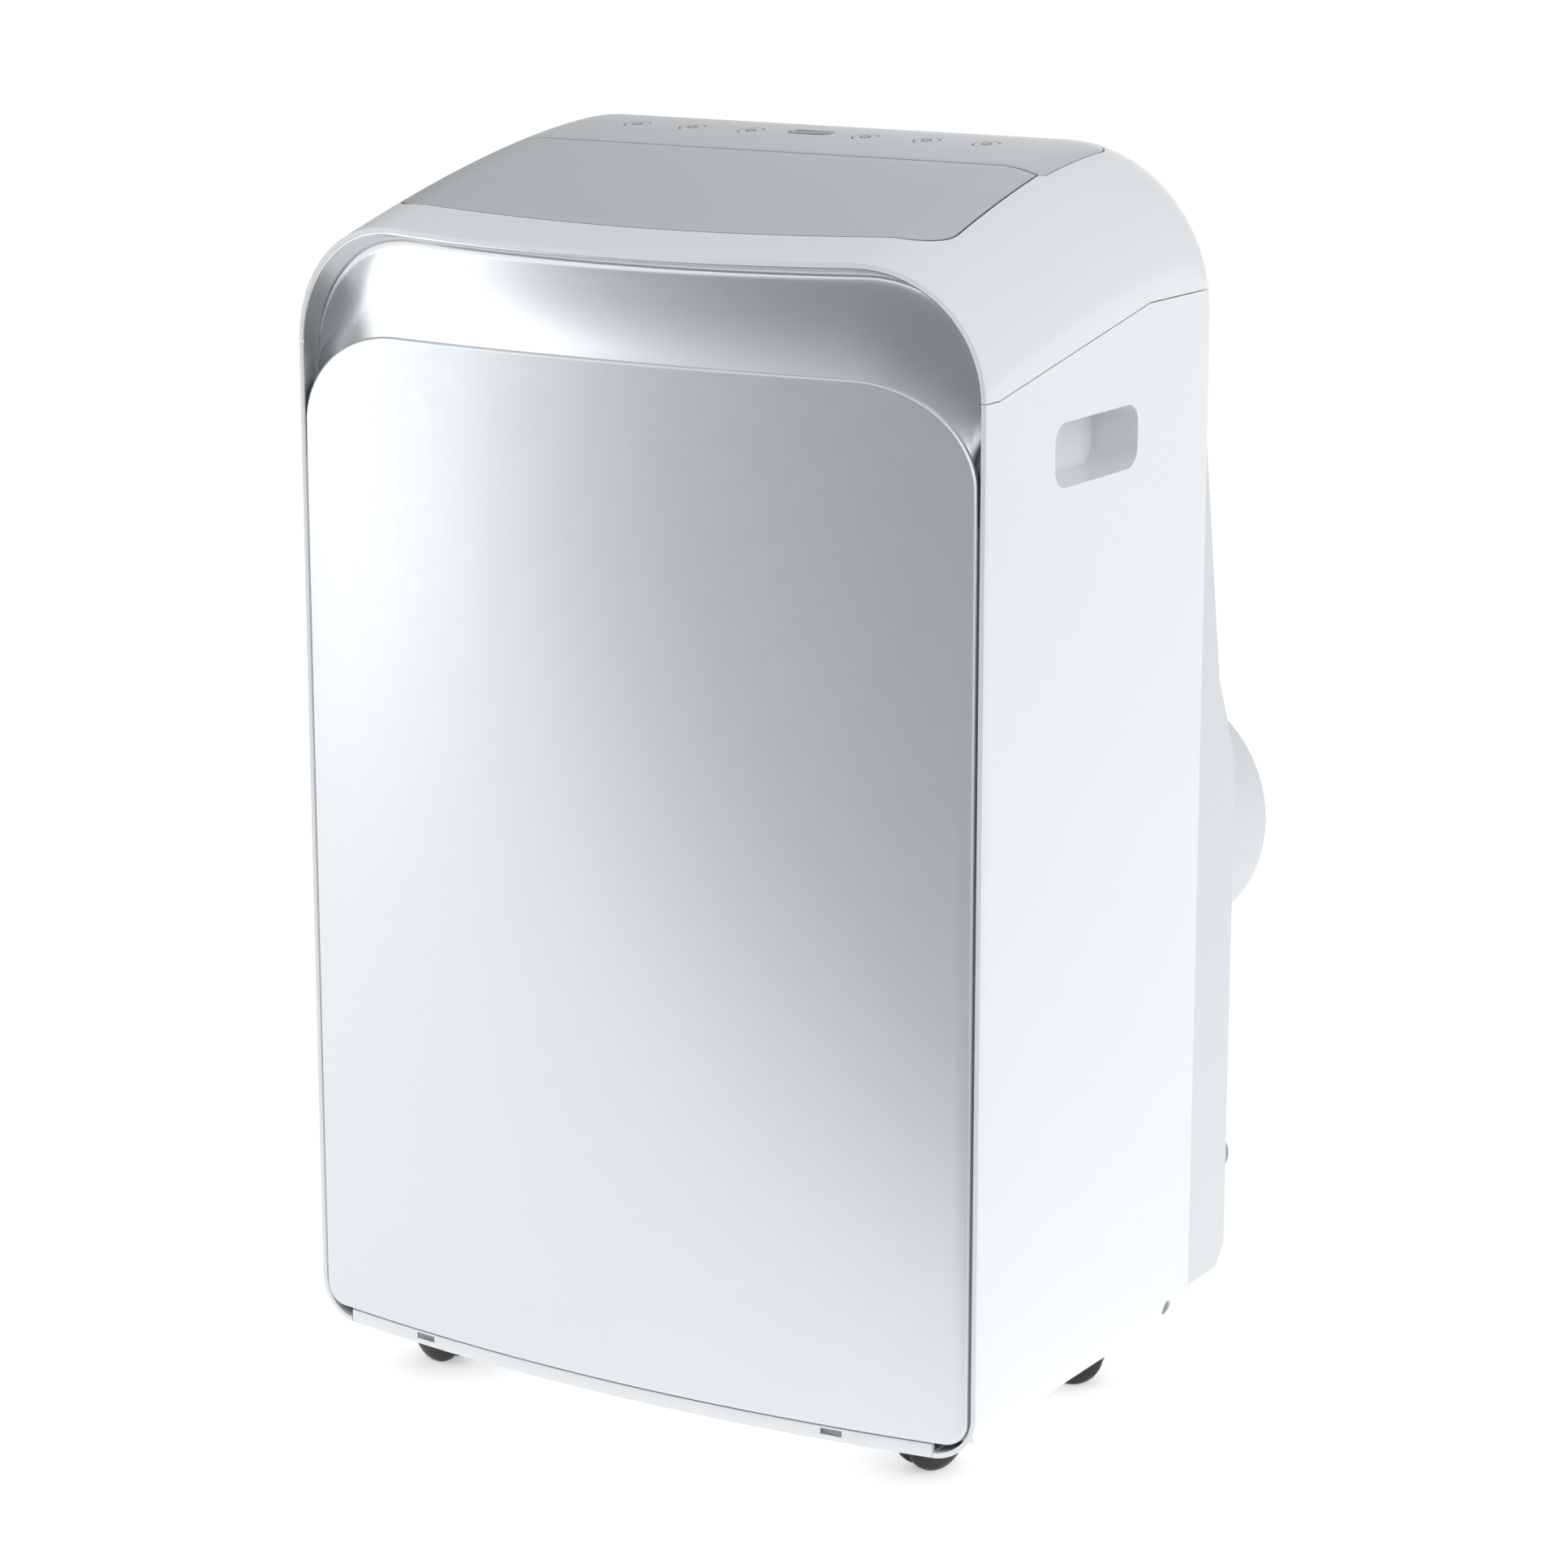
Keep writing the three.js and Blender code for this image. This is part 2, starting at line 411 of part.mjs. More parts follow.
function buildBase() {
  const floor = common(box(-207.6, 207.6, -200, 84, CASING_BOTTOM, 38.2), behindFront(1.5));
  const lip = common(box(-207.6, 207.6, -200, 0, CASING_BOTTOM, 43.2), cut(behindFront(1.5), behindFront(4.9)));
  const latches = [-145, 145].map((x) => box(x - 7, x + 7, -210, -160, 38.2, 42));
  const rim = cut(box(-205, 205, -164, 84, 38, 66), box(-202, 202, -161, 81, 30, 80));
  const rearDeck = join(box(-205, 205, 78, 84, 38, 66), box(-205, 205, 78, 150, 61.5, 66));
  let tray = join(cut(join(floor, lip), ...latches), rim, rearDeck);
  for (const { x, y } of CASTERS) {
    tray = join(tray, rod('z', WELL.radius + 2.2, 36, WELL.ceiling + 3, x, y, 20), rod('z', 11, 50, 74, x, y, 12));
  }
  for (const { x, y } of CASTERS) {
    tray = cut(tray, rod('z', WELL.radius, 30, WELL.ceiling, x, y, 20), rod('z', 5.3, 50, 71, x, y, 10));
  }
  add('base_tray', cut(tray, rod('z', 6.5, 30, 45, 0, 20, 12)), greyPlastic);
  add('base_drain_plug', cut(rod('z', 6, CASING_BOTTOM, 44, 0, 20, 12),
    box(-4.5, 4.5, 19.2, 20.8, 30, CASING_BOTTOM + 2)), rubber);

  for (const { name, x, y, turn } of CASTERS) {
    const swivel = new THREE.Group();
    swivel.position.set(x, y, 0);
    swivel.rotation.z = THREE.MathUtils.degToRad(turn);
    airConditioner.add(swivel);
    const { radius, trail, inner, outer, axle, sides } = WHEEL;
    const hood = cut(rod('y', radius - 1, -3.4, 3.4, trail, radius, 20), box(-50, 50, -9, 9, -10, radius - 5));
    const neck = join(rod('z', 13, radius + 17, WELL.ceiling - 6, 2, 0, 16),
      box(-8, trail + 6, -3.4, 3.4, radius + 4, radius + 22));
    const stem = rod('z', 4.8, WELL.ceiling - 8, 70, 0, 0, 12);
    const fork = cut(join(hood, neck, stem), rod('y', axle + 0.5, -20, 20, trail, radius, 12),
      cut(rod('y', radius + 1, -20, 20, trail, radius, 24), box(-60, 60, -3.4, 3.4, -60, 60)));
    add(`caster_fork_${name}`, fork, darkPlastic, swivel);
    const tread = radius / Math.cos(Math.PI / sides);
    const wheels = join(rod('y', tread, inner, outer, trail, radius, sides),
      rod('y', tread, -outer, -inner, trail, radius, sides), rod('y', axle, -outer, outer, trail, radius, 12));
    add(`caster_wheels_${name}`, wheels, rubber, swivel);
  }
}

// A centrifugal fan wheel with its hub and shaft: back plate towards the front, inlet towards the back.
function blowerWheel(x, z, radius, frontY, rearY, shaftY) {
  const blades = 14;
  const plate = rod('y', radius, frontY, frontY + 2, x, z, 24);
  const ring = cut(rod('y', radius, rearY - 4, rearY, x, z, 24),
    rod('y', radius - 14, rearY - 9, rearY + 9, x, z, 24));
  const hub = rod('y', 14, frontY + 1, frontY + 26, x, z, 12);
  let wheel = join(plate, ring, hub, rod('y', 4, frontY + 20, shaftY, x, z, 10));
  for (let i = 0; i < blades; i++) {
    const blade = new THREE.BoxGeometry(2, rearY - frontY - 3, 13);
    blade.rotateY(0.5).translate(0, (frontY + rearY) / 2, radius - 7.5).rotateY((i * 2 * Math.PI) / blades);
    wheel = join(wheel, solid(blade.translate(x, 0, z)));
  }
  return wheel;
}

function buildRefrigeration() {
  // Upper blower: a round volute whose outlet rises into the air outlet duct.
  const upper = { x: 0, z: 562, r: 84 };
  const lower = { x: 44, z: 172, r: 74 };
  const volute = (c, big, y0, y1, outlet) => {
    const outer = join(rod('y', big, y0, y1, c.x, c.z, 32), box(outlet[0], outlet[1], y0, y1, c.z, outlet[2]));
    const inner = join(rod('y', big - 3, y0 + 3, y1 - 3, c.x, c.z, 32),
      box(outlet[0] + 3, outlet[1] - 3, y0 + 3, y1 - 3, c.z, outlet[2] + 9));
    return cut(outer, inner, rod('y', 70, y1 - 9, y1 + 9, c.x, c.z, 24));
  };
  add('upper_blower_housing', volute(upper, 118, -146, -44, [-118, 118, 688]), greyPlastic);
  add('lower_blower_housing', volute(lower, 100, -146, -44, [88, 144, 272]), greyPlastic);
  add('upper_blower_wheel', blowerWheel(upper.x, upper.z, upper.r, -140, -52, -26), darkPlastic);
  add('lower_blower_wheel', blowerWheel(lower.x, lower.z, lower.r, -140, -52, -26), darkPlastic);
  for (const [name, c] of [['upper', upper], ['lower', lower]]) {
    const can = join(rod('y', 42, -36, 20, c.x, c.z, 24), rod('y', 12, -40, -30, c.x, c.z, 12),
      box(c.x - 60, c.x + 60, -40, -36.5, c.z - 8, c.z + 8));
    add(`${name}_fan_motor`, cut(can, rod('y', 4.6, -60, -20, c.x, c.z, 12)), zinc);
  }
  add('exhaust_duct', cut(box(72, 220, -144, 128, 274, 406), box(75, 217, -141, 140, 277, 403),
    box(91, 141, -141, -47, 260, 290)), greyPlastic);

  add('drip_tray', cut(box(-214, 214, -40, 84, 425, 445), box(-211, 211, -37, 81, 428, 460),
    box(-205, -185, 0, 20, 400, 460)), greyPlastic);
  const coil = (x0, x1, y0, y1, z0, z1) => join(box(x0, x1, y0 + 2, y1 - 2, z0 + 1, z1 - 1),
    box(x0 - 2, x0, y0, y1, z0, z1), box(x1, x1 + 2, y0, y1, z0, z1));
  add('evaporator_coil', coil(-180, 180, 44, 78, 447, 645), fins);
  add('condenser_coil', coil(-200, 198, 112, 146, 70, 248), fins);

  const can = [[0, 0], [50, 4], [54, 14], [54, 196], [48, 214], [30, 226], [0, 230]]
    .map(([r, h]) => new THREE.Vector2(r, h));
  const pot = new THREE.LatheGeometry(can, 24).rotateX(Math.PI / 2).translate(-70, 22, 76);
  const accumulator = join(rod('z', 20, 120, 240, -140, 40, 16), box(-140, -110, 30, 46, 150, 170));
  const brackets = join(box(-118, -22, 14, 30, 72, 79), box(-78, -62, -26, 70, 72, 79));
  const feet = [[-112, 22], [-28, 22], [-70, 64], [-70, -20]].map(([x, y]) => rod('z', 7.5, 39.4, 73, x, y, 12, 6));
  add('compressor', join(solid(pot), accumulator, brackets, ...feet), blackPaint);

  const pipe = (points, radius, steps) => {
    const section = new THREE.Shape();
    section.absarc(0, 0, radius, 0, 2 * Math.PI);
    const route = new THREE.CatmullRomCurve3(points.map((p) => new THREE.Vector3(...p)));
    const settings = { steps, bevelEnabled: false, extrudePath: route, curveSegments: 4 };
    return solid(new THREE.ExtrudeGeometry(section, settings));
  };
  add('suction_pipe', pipe([[-140, 40, 240.6], [-140, 40, 300], [-150, 30, 350], [-185, 14, 385], [-195, 10, 415],
    [-195, 10, 470], [-195, 30, 520], [-189, 60, 545]], 6, 30), copper);
  add('discharge_pipe', pipe([[-70, 22, 306.6], [-70, 22, 340], [-90, 50, 352], [-130, 90, 340], [-150, 124, 310],
    [-150, 129, 249.4]], 4, 20), copper);
}

buildCasing();
buildFront();
buildTop();
buildRear();
buildBase();
buildRefrigeration();

export default airConditioner;
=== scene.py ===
"""Portable air conditioner: the mouldings, trim, grilles, casters and finishes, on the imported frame."""

import json
import math

import bmesh
import bpy
from bpy.props import FloatProperty, FloatVectorProperty, PointerProperty
from mathutils import Matrix, Vector


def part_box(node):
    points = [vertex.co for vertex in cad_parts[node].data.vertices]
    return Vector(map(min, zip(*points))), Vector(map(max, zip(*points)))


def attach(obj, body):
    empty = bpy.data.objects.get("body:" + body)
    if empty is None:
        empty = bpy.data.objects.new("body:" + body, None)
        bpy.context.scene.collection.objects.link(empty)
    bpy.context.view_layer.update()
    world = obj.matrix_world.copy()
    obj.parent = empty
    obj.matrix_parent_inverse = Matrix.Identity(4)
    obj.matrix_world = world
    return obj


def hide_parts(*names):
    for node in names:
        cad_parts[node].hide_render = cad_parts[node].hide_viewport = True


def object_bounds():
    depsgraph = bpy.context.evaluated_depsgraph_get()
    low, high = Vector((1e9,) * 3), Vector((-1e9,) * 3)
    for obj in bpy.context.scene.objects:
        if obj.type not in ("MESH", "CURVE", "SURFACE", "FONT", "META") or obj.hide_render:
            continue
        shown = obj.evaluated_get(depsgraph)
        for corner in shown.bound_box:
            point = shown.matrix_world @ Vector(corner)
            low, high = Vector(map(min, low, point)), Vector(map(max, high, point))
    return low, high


bl_info = {
    "name": "Portable Air Conditioner",
    "version": (1, 0, 0),
    "blender": (4, 5, 0),
    "location": "3D View > Sidebar > Climate",
    "description": "Builds a portable air conditioner with a bowed front and a scooped silver band",
    "category": "Add Mesh",
}

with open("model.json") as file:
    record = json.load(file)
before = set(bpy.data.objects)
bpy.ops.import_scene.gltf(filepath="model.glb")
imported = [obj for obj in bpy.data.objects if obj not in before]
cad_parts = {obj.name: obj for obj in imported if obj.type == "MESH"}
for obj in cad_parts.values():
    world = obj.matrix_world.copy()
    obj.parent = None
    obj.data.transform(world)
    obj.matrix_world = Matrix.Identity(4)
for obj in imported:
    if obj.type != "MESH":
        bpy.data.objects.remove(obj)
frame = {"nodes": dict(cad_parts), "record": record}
CAD_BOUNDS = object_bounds()

# ---- Places taken from the frame, in metres ----
MM = 0.001
LOW, HIGH = (Vector(corner) for corner in CAD_BOUNDS)
HALF = HIGH.x
TOP = HIGH.z
PANEL_LOW, PANEL_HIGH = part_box("front_panel")
CONTROL_LOW, CONTROL_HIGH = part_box("control_panel")
CASING_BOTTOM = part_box("right_side_panel")[0].z
REAR_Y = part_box("top_shell")[1].y
HOUSING_LOW, HOUSING_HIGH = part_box("rear_casing")
FLAP_LOW, FLAP_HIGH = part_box("louvre_flap")
CROWN_Y = 48 * MM  # the crown is highest here
SEAM = ((-300, 645), (-160, 645), (15, 679), (300, 679))  # (y, z) of the joint under the top shell, in mm
KEY_NODES = ("timer_key", "sleep_key", "down_key", "up_key", "fan_key", "power_key")
CASTERS = ("front_right", "front_left", "rear_right", "rear_left")
JOINTS = {joint["name"]: joint for joint in frame["record"]["behaviour"]["joints"]}


def hex_colour(text):
    """A hex sRGB colour as linear red, green, blue and alpha."""
    channels = [int(text[i:i + 2], 16) / 255 for i in (0, 2, 4)]
    linear = [c / 12.92 if c <= 0.04045 else ((c + 0.055) / 1.055) ** 2.4 for c in channels]
    return (*linear, 1.0)


def colour_property(name, description, text):
    return FloatVectorProperty(
        name=name, description=description, subtype="COLOR", size=4, min=0, max=1, default=hex_colour(text))


def length_property(name, description, value):
    return FloatProperty(name=name, description=description, subtype="DISTANCE", unit="LENGTH", default=value)


class CasingSizes(bpy.types.PropertyGroup):
    """Sizes of the mouldings that the frame's boxes don't give."""

    bow: length_property("Front bow", "How far the middle of the front stands ahead of its edges", 22 * MM)
    wall: length_property("Wall", "Thickness of the mouldings", 3 * MM)
    top_radius: length_property("Crown radius", "Rounding of the upper corners, seen from the front", 78 * MM)
    foot_radius: length_property("Foot radius", "Rounding of the lower corners", 26 * MM)
    scoop: length_property("Scoop depth", "How deep the silver band is hollowed", 21 * MM)
    edge: length_property("Edge easing", "Rounding of the moulded edges", 1.2 * MM)


class FinishColours(bpy.types.PropertyGroup):
    """Colours of the visible finishes."""

    white: colour_property("White ABS", "Casing mouldings", "F1F2F3")
    pearl: colour_property("Pearl lacquer", "Front panel and louvre", "DFE3E6")
    silver: colour_property("Silver lacquer", "Scooped band", "DADDDF")
    black: colour_property("Black nylon", "Casters", "151517")
    grey: colour_property("Grey polypropylene", "Base, drain cap", "8F9396")


def centre_of(node):
    low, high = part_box(node)
    return (low + high) / 2


# ---- Surfaces of the casing ----
def sizes():
    return bpy.context.scene.casing_sizes


def bow_y(x, setback=0.0):
    """The bowed front surface."""
    return LOW.y + sizes().bow * (x / HALF) ** 2 + setback


def crown_drop(y):
    """How far the crown lies below its highest line."""
    if y <= CROWN_Y:
        return 8.5 * MM * ((CROWN_Y - y) / (74 * MM)) ** 1.49
    share = min((y - CROWN_Y) / (REAR_Y - CROWN_Y), 1.0)
    return 23 * MM * (1 - math.sqrt(1 - share * share))


def shoulder_drop(x):
    """How far the rounded shoulders lie below the crown at this width."""
    radius = sizes().top_radius
    over = max(abs(x) - (HALF - radius), 0.0)
    return radius - math.sqrt(max(radius * radius - over * over, 0.0))


def top_z(x, y):
    return TOP - crown_drop(y) - shoulder_drop(x)


# ---- Mesh helpers ----
def corner_face(bm, points):
    """One flat face through a few corner points."""
    return bm.faces.new([bm.verts.new(point) for point in points])


def round_corners(bm, verts, radius, segments):
    bmesh.ops.bevel(bm, geom=verts, offset=radius, offset_type="OFFSET", segments=segments,
                    profile=0.5, affect="VERTICES", material=-1)


def rounded_face(bm, a0, a1, b0, b1, lower, upper, place, segments):
    """A rectangle with rounded corners. place turns (a, b) into a point."""
    corner_face(bm, [place(a0, b0), place(a1, b0), place(a1, b1), place(a0, b1)])
    bm.verts.ensure_lookup_table()
    low, high = list(bm.verts[0:2]), list(bm.verts[2:4])
    if lower:
        round_corners(bm, low, lower, segments)
    if upper:
        round_corners(bm, high, upper, segments)
    bm.faces.ensure_lookup_table()
    return bm.faces[0]


def extrude(bm, faces, offset):
    """Extrudes faces by an offset, and returns the far faces."""
    made = bmesh.ops.extrude_face_region(bm, geom=faces)["geom"]
    verts = [item for item in made if isinstance(item, bmesh.types.BMVert)]
    bmesh.ops.translate(bm, verts=verts, vec=offset)
    return [item for item in made if isinstance(item, bmesh.types.BMFace)]


def slice_mesh(bm, axis, places):
    """Cuts the whole mesh by planes across an axis, so that it can bend."""
    normal = Vector([1.0 if i == axis else 0.0 for i in range(3)])
    for place in places:
        geometry = bm.verts[:] + bm.edges[:] + bm.faces[:]
        bmesh.ops.bisect_plane(bm, geom=geometry, plane_co=normal * place, plane_no=normal, dist=1e-6)


def spread(low, high, count):
    return [low + (high - low) * i / count for i in range(1, count)]


def finish_normals(bm):
    bmesh.ops.remove_doubles(bm, verts=bm.verts[:], dist=1e-6)
    bmesh.ops.recalc_face_normals(bm, faces=bm.faces[:])


def mesh_object(name, bm):
    mesh = bpy.data.meshes.new(name)
    bm.to_mesh(mesh)
    bm.free()
    made = bpy.data.objects.new(name, mesh)
    bpy.context.scene.collection.objects.link(made)
    return made


def apply_modifiers(piece):
    bpy.context.view_layer.update()
    shown = piece.evaluated_get(bpy.context.evaluated_depsgraph_get())
    mesh = bpy.data.meshes.new_from_object(shown)
    piece.modifiers.clear()
    old = piece.data
    piece.data = mesh
    mesh.name = piece.name
    bpy.data.meshes.remove(old)


def discard(piece):
    mesh = piece.data
    bpy.data.objects.remove(piece)
    bpy.data.meshes.remove(mesh)


def carve(piece, cutter, operation="DIFFERENCE"):
    """Cuts, joins or keeps what a second solid shares, and removes that solid."""
    boolean = piece.modifiers.new("carve", "BOOLEAN")
    boolean.solver = "MANIFOLD"
    boolean.operation = operation
    boolean.object = cutter
    apply_modifiers(piece)
    if not piece.data.polygons:
        raise RuntimeError(f"{piece.name} came out empty")
    discard(cutter)


def ease_edges(piece, width, segments=3, angle=40):
    bevel = piece.modifiers.new("edges", "BEVEL")
    bevel.width = width
    bevel.segments = segments
    bevel.limit_method = "ANGLE"
    bevel.angle_limit = math.radians(angle)
    bevel.use_clamp_overlap = True
    apply_modifiers(piece)


def thicken(piece, thickness):
    solidify = piece.modifiers.new("wall", "SOLIDIFY")
    solidify.thickness = thickness
    solidify.offset = -1
    solidify.use_even_offset = True
    apply_modifiers(piece)


def copy_of(piece, name):
    twin = piece.copy()
    twin.data = piece.data.copy()
    twin.name = name
    bpy.context.scene.collection.objects.link(twin)
    return twin


def set_piece(piece, body, material, replaced=(), angle=32):
    """Shades, paints and hangs a finished piece on its body."""
    piece.data.shade_smooth()
    piece.data.set_sharp_from_angle(angle=math.radians(angle))
    piece.data.materials.clear()
    piece.data.materials.append(material)
    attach(piece, body)
    if replaced:
        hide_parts(*replaced)


def eased_copy(node, name, body, material, width):
    """A CAD node's own shape with its edges rounded over."""
    bm = bmesh.new()
    bm.from_mesh(frame["nodes"][node].data)
    bmesh.ops.remove_doubles(bm, verts=bm.verts[:], dist=1e-5)
    bmesh.ops.dissolve_limit(bm, angle_limit=math.radians(1), verts=bm.verts[:], edges=bm.edges[:])
    piece = mesh_object(name, bm)
    ease_edges(piece, width, 2, 35)
    set_piece(piece, body, material, [node])


def prism_x(name, points_mm, x0, x1):
    """A prism along X whose outline is given as (y, z) in millimetres."""
    bm = bmesh.new()
    face = corner_face(bm, [(x0, y * MM, z * MM) for y, z in points_mm])
    extrude(bm, [face], (x1 - x0, 0, 0))
    finish_normals(bm)
    return mesh_object(name, bm)


def cylinder(name, radius, start, end, sides):
    """A closed cylinder between two points."""
    start, end = Vector(start), Vector(end)
    turn = Vector((0, 0, 1)).rotation_difference(end - start).to_matrix().to_4x4()
    bm = bmesh.new()
    bmesh.ops.create_cone(bm, cap_ends=True, segments=sides, radius1=radius, radius2=radius,
                          depth=(end - start).length, matrix=Matrix.Translation((start + end) / 2) @ turn)
    return mesh_object(name, bm)


def turned(name, profile, start, direction, sides=64):
    """Spins an (along, radius) outline, in metres, round an axis."""
    start, direction = Vector(start), Vector(direction).normalized()
    turn = Vector((0, 0, 1)).rotation_difference(direction).to_matrix().to_4x4()
    bm = bmesh.new()
    verts = [bm.verts.new((radius, 0, along)) for along, radius in profile]
    edges = [bm.edges.new(pair) for pair in zip(verts, verts[1:])]
    bmesh.ops.spin(bm, geom=verts + edges, cent=(0, 0, 0), axis=(0, 0, 1), angle=2 * math.pi,
                   steps=sides, use_merge=True, use_duplicate=False)
    finish_normals(bm)
    bmesh.ops.transform(bm, matrix=Matrix.Translation(start) @ turn, verts=bm.verts[:])
    return mesh_object(name, bm)


# ---- Materials ----
def add_node(tree, kind, settings=None, links=None):
    """Adds a node, sets its sockets or attributes, and links its inputs."""
    made = tree.nodes.new(kind)
    for key, value in (settings or {}).items():
        if isinstance(key, int) or key in made.inputs:
            made.inputs[key].default_value = value
        else:
            setattr(made, key, value)
    for key, source in (links or {}).items():
        tree.links.new(source, made.inputs[key])
    return made


def start_material(name):
    material = bpy.data.materials.new(name)
    material.use_nodes = True
    tree = material.node_tree
    tree.nodes.clear()
    place = add_node(tree, "ShaderNodeTexCoord").outputs["Object"]
    return material, tree, place


def end_material(tree, settings, links):
    shader = add_node(tree, "ShaderNodeBsdfPrincipled", settings, links)
    add_node(tree, "ShaderNodeOutputMaterial", links={"Surface": shader.outputs["BSDF"]})


def moulded(name, colour, roughness, peel=0.02, ior=1.54, metallic=0.0, coat=0.0, tint=0.03, grain_mm=9.0):
    """Injection-moulded or lacquered plastic: slow waviness in the gloss, faint peel, uneven roughness."""
    material, tree, place = start_material(name)
    broad = add_node(tree, "ShaderNodeTexNoise", {"Scale": 7.0, "Detail": 3.0}, {"Vector": place})
    fine = add_node(tree, "ShaderNodeTexNoise", {"Scale": 1000 / grain_mm, "Detail": 2.0}, {"Vector": place})
    low = tuple(channel * (1 - tint) for channel in colour[:3]) + (1.0,)
    shade = add_node(tree, "ShaderNodeMix", {"data_type": "RGBA"})
    shade.inputs[6].default_value = low
    shade.inputs[7].default_value = colour
    tree.links.new(broad.outputs["Fac"], shade.inputs[0])
    gloss = add_node(tree, "ShaderNodeMapRange",
                     {"To Min": roughness * 0.88, "To Max": roughness * 1.12}, {"Value": fine.outputs["Fac"]})
    bump = add_node(tree, "ShaderNodeBump", {"Strength": peel, "Distance": 0.0004},
                    {"Height": fine.outputs["Fac"]})
    end_material(tree, {"Metallic": metallic, "IOR": ior, "Coat Weight": coat, "Coat Roughness": 0.06},
                 {"Base Color": shade.outputs[2], "Roughness": gloss.outputs["Result"],
                  "Normal": bump.outputs["Normal"]})
    return material


def striped(name, colour, dark, grade_mm, axis, metallic, roughness):
    """Fins or a woven net, drawn as bands, the dark ones painted shade in the gaps. They come out 6 to 9 times
    as far apart as grade_mm.
    """
    material, tree, place = start_material(name)
    wave = add_node(tree, "ShaderNodeTexWave", {"wave_type": "BANDS", "bands_direction": axis,
                                                "Scale": 1000 / (grade_mm * 20), "Distortion": 0.0},
                    {"Vector": place})
    ramp = add_node(tree, "ShaderNodeValToRGB", links={"Fac": wave.outputs["Fac"]})
    # The dark colour is painted shade in the gaps between the fins, and between the net's threads.
    ramp.color_ramp.elements[0].color = dark
    ramp.color_ramp.elements[1].color = colour
    bump = add_node(tree, "ShaderNodeBump", {"Strength": 0.4, "Distance": 0.0005},
                    {"Height": wave.outputs["Fac"]})
    end_material(tree, {"Metallic": metallic, "Roughness": roughness},
                 {"Base Color": ramp.outputs["Color"], "Normal": bump.outputs["Normal"]})
    return material


def make_materials():
    colours = bpy.context.scene.finish_colours
    return {
        # High-gloss moulded ABS: bright, with soft reflections and a slight waviness.
        "white": moulded("glossy_abs_white", tuple(colours.white), 0.24, coat=0.3),
        # Rear casing: a fine spark-eroded texture with a flatter highlight, and a base colour set greyer than
        # the sides.
        "textured": moulded("spark_eroded_abs_white", hex_colour("DFE2E4"), 0.5, peel=0.25, grain_mm=1.2),
        # Pearl lacquer on ABS: fine flake under a clear coat, so light slides across the bow.
        "pearl": moulded("pearl_lacquered_abs", tuple(colours.pearl), 0.36, metallic=0.8, coat=0.25),
        # Silver lacquer on ABS: more flake, so the hollow shows the room as broad light and dark.
        "silver": moulded("silver_lacquered_abs", tuple(colours.silver), 0.24,
                           metallic=1.0, coat=0.2, peel=0.01),
        # Acrylic sheet over a grey print: smooth and hard.
        "acrylic": moulded("grey_acrylic", hex_colour("D4D7D9"), 0.14,
                            ior=1.49, metallic=0.3, coat=0.6, peel=0.0),
        # Tinted acrylic over a dark display: smooth and hard, so it reads as a gloss slot.
        "smoked": moulded("smoked_acrylic", hex_colour("5E6265"), 0.08, ior=1.49, coat=0.8, peel=0.0),
        # Screen-printed ink: matt and thin.
        "ink": moulded("screen_print_ink", hex_colour("8C9093"), 0.55, peel=0.0),
        # Glass-filled nylon: spark-eroded texture that breaks up the highlight.
        "black": moulded("moulded_nylon_black", tuple(colours.black), 0.38, peel=0.35, grain_mm=1.2),
        # Polypropylene: waxy, with a soft highlight.
        "grey": moulded("moulded_polypropylene_grey", tuple(colours.grey), 0.48,
                         peel=0.12, ior=1.49, grain_mm=2.0),
        # Pressed EPDM rubber: matt, with almost no highlight.
        "rubber": moulded("epdm_rubber", hex_colour("1A1A1B"), 0.7, peel=0.4, ior=1.52, grain_mm=1.0),
        # Zinc-plated pressed steel: a dull metal sheen with a faint mottle.
        "zinc": moulded("zinc_plated_steel", hex_colour("A9AEB1"), 0.38,
                         ior=1.5, metallic=1.0, peel=0.2, tint=0.12),
        # Drawn copper tube: warm, with a smooth metal highlight.
        "copper": moulded("drawn_copper_tube", hex_colour("B87648"), 0.3, ior=1.5, metallic=1.0, tint=0.2),
        # Black stove enamel on pressed steel: slight orange peel in the highlight.
        "enamel": moulded("black_enamelled_steel", hex_colour("1C1D1F"), 0.35, peel=0.2, grain_mm=3.0),
        # Rolled aluminium fins and woven net: bright bands, and dark bands of painted shade in the gaps, about
        # 13 mm apart, coarser than real ones.
        "fins": striped("aluminium_fins", hex_colour("CDD1D2"), hex_colour("6B6F71"), 2.0, "X", 1.0, 0.4),
        "net": striped("woven_polyester_net", hex_colour("54595D"), hex_colour("202224"), 1.5,
                       "DIAGONAL", 0.0, 0.8),
    }


MATERIALS = {}


def paint(node, name):
    """Gives a CAD node that stays in view a better finish."""
    target = frame["nodes"][node].data
    target.materials.clear()
    target.materials.append(MATERIALS[name])


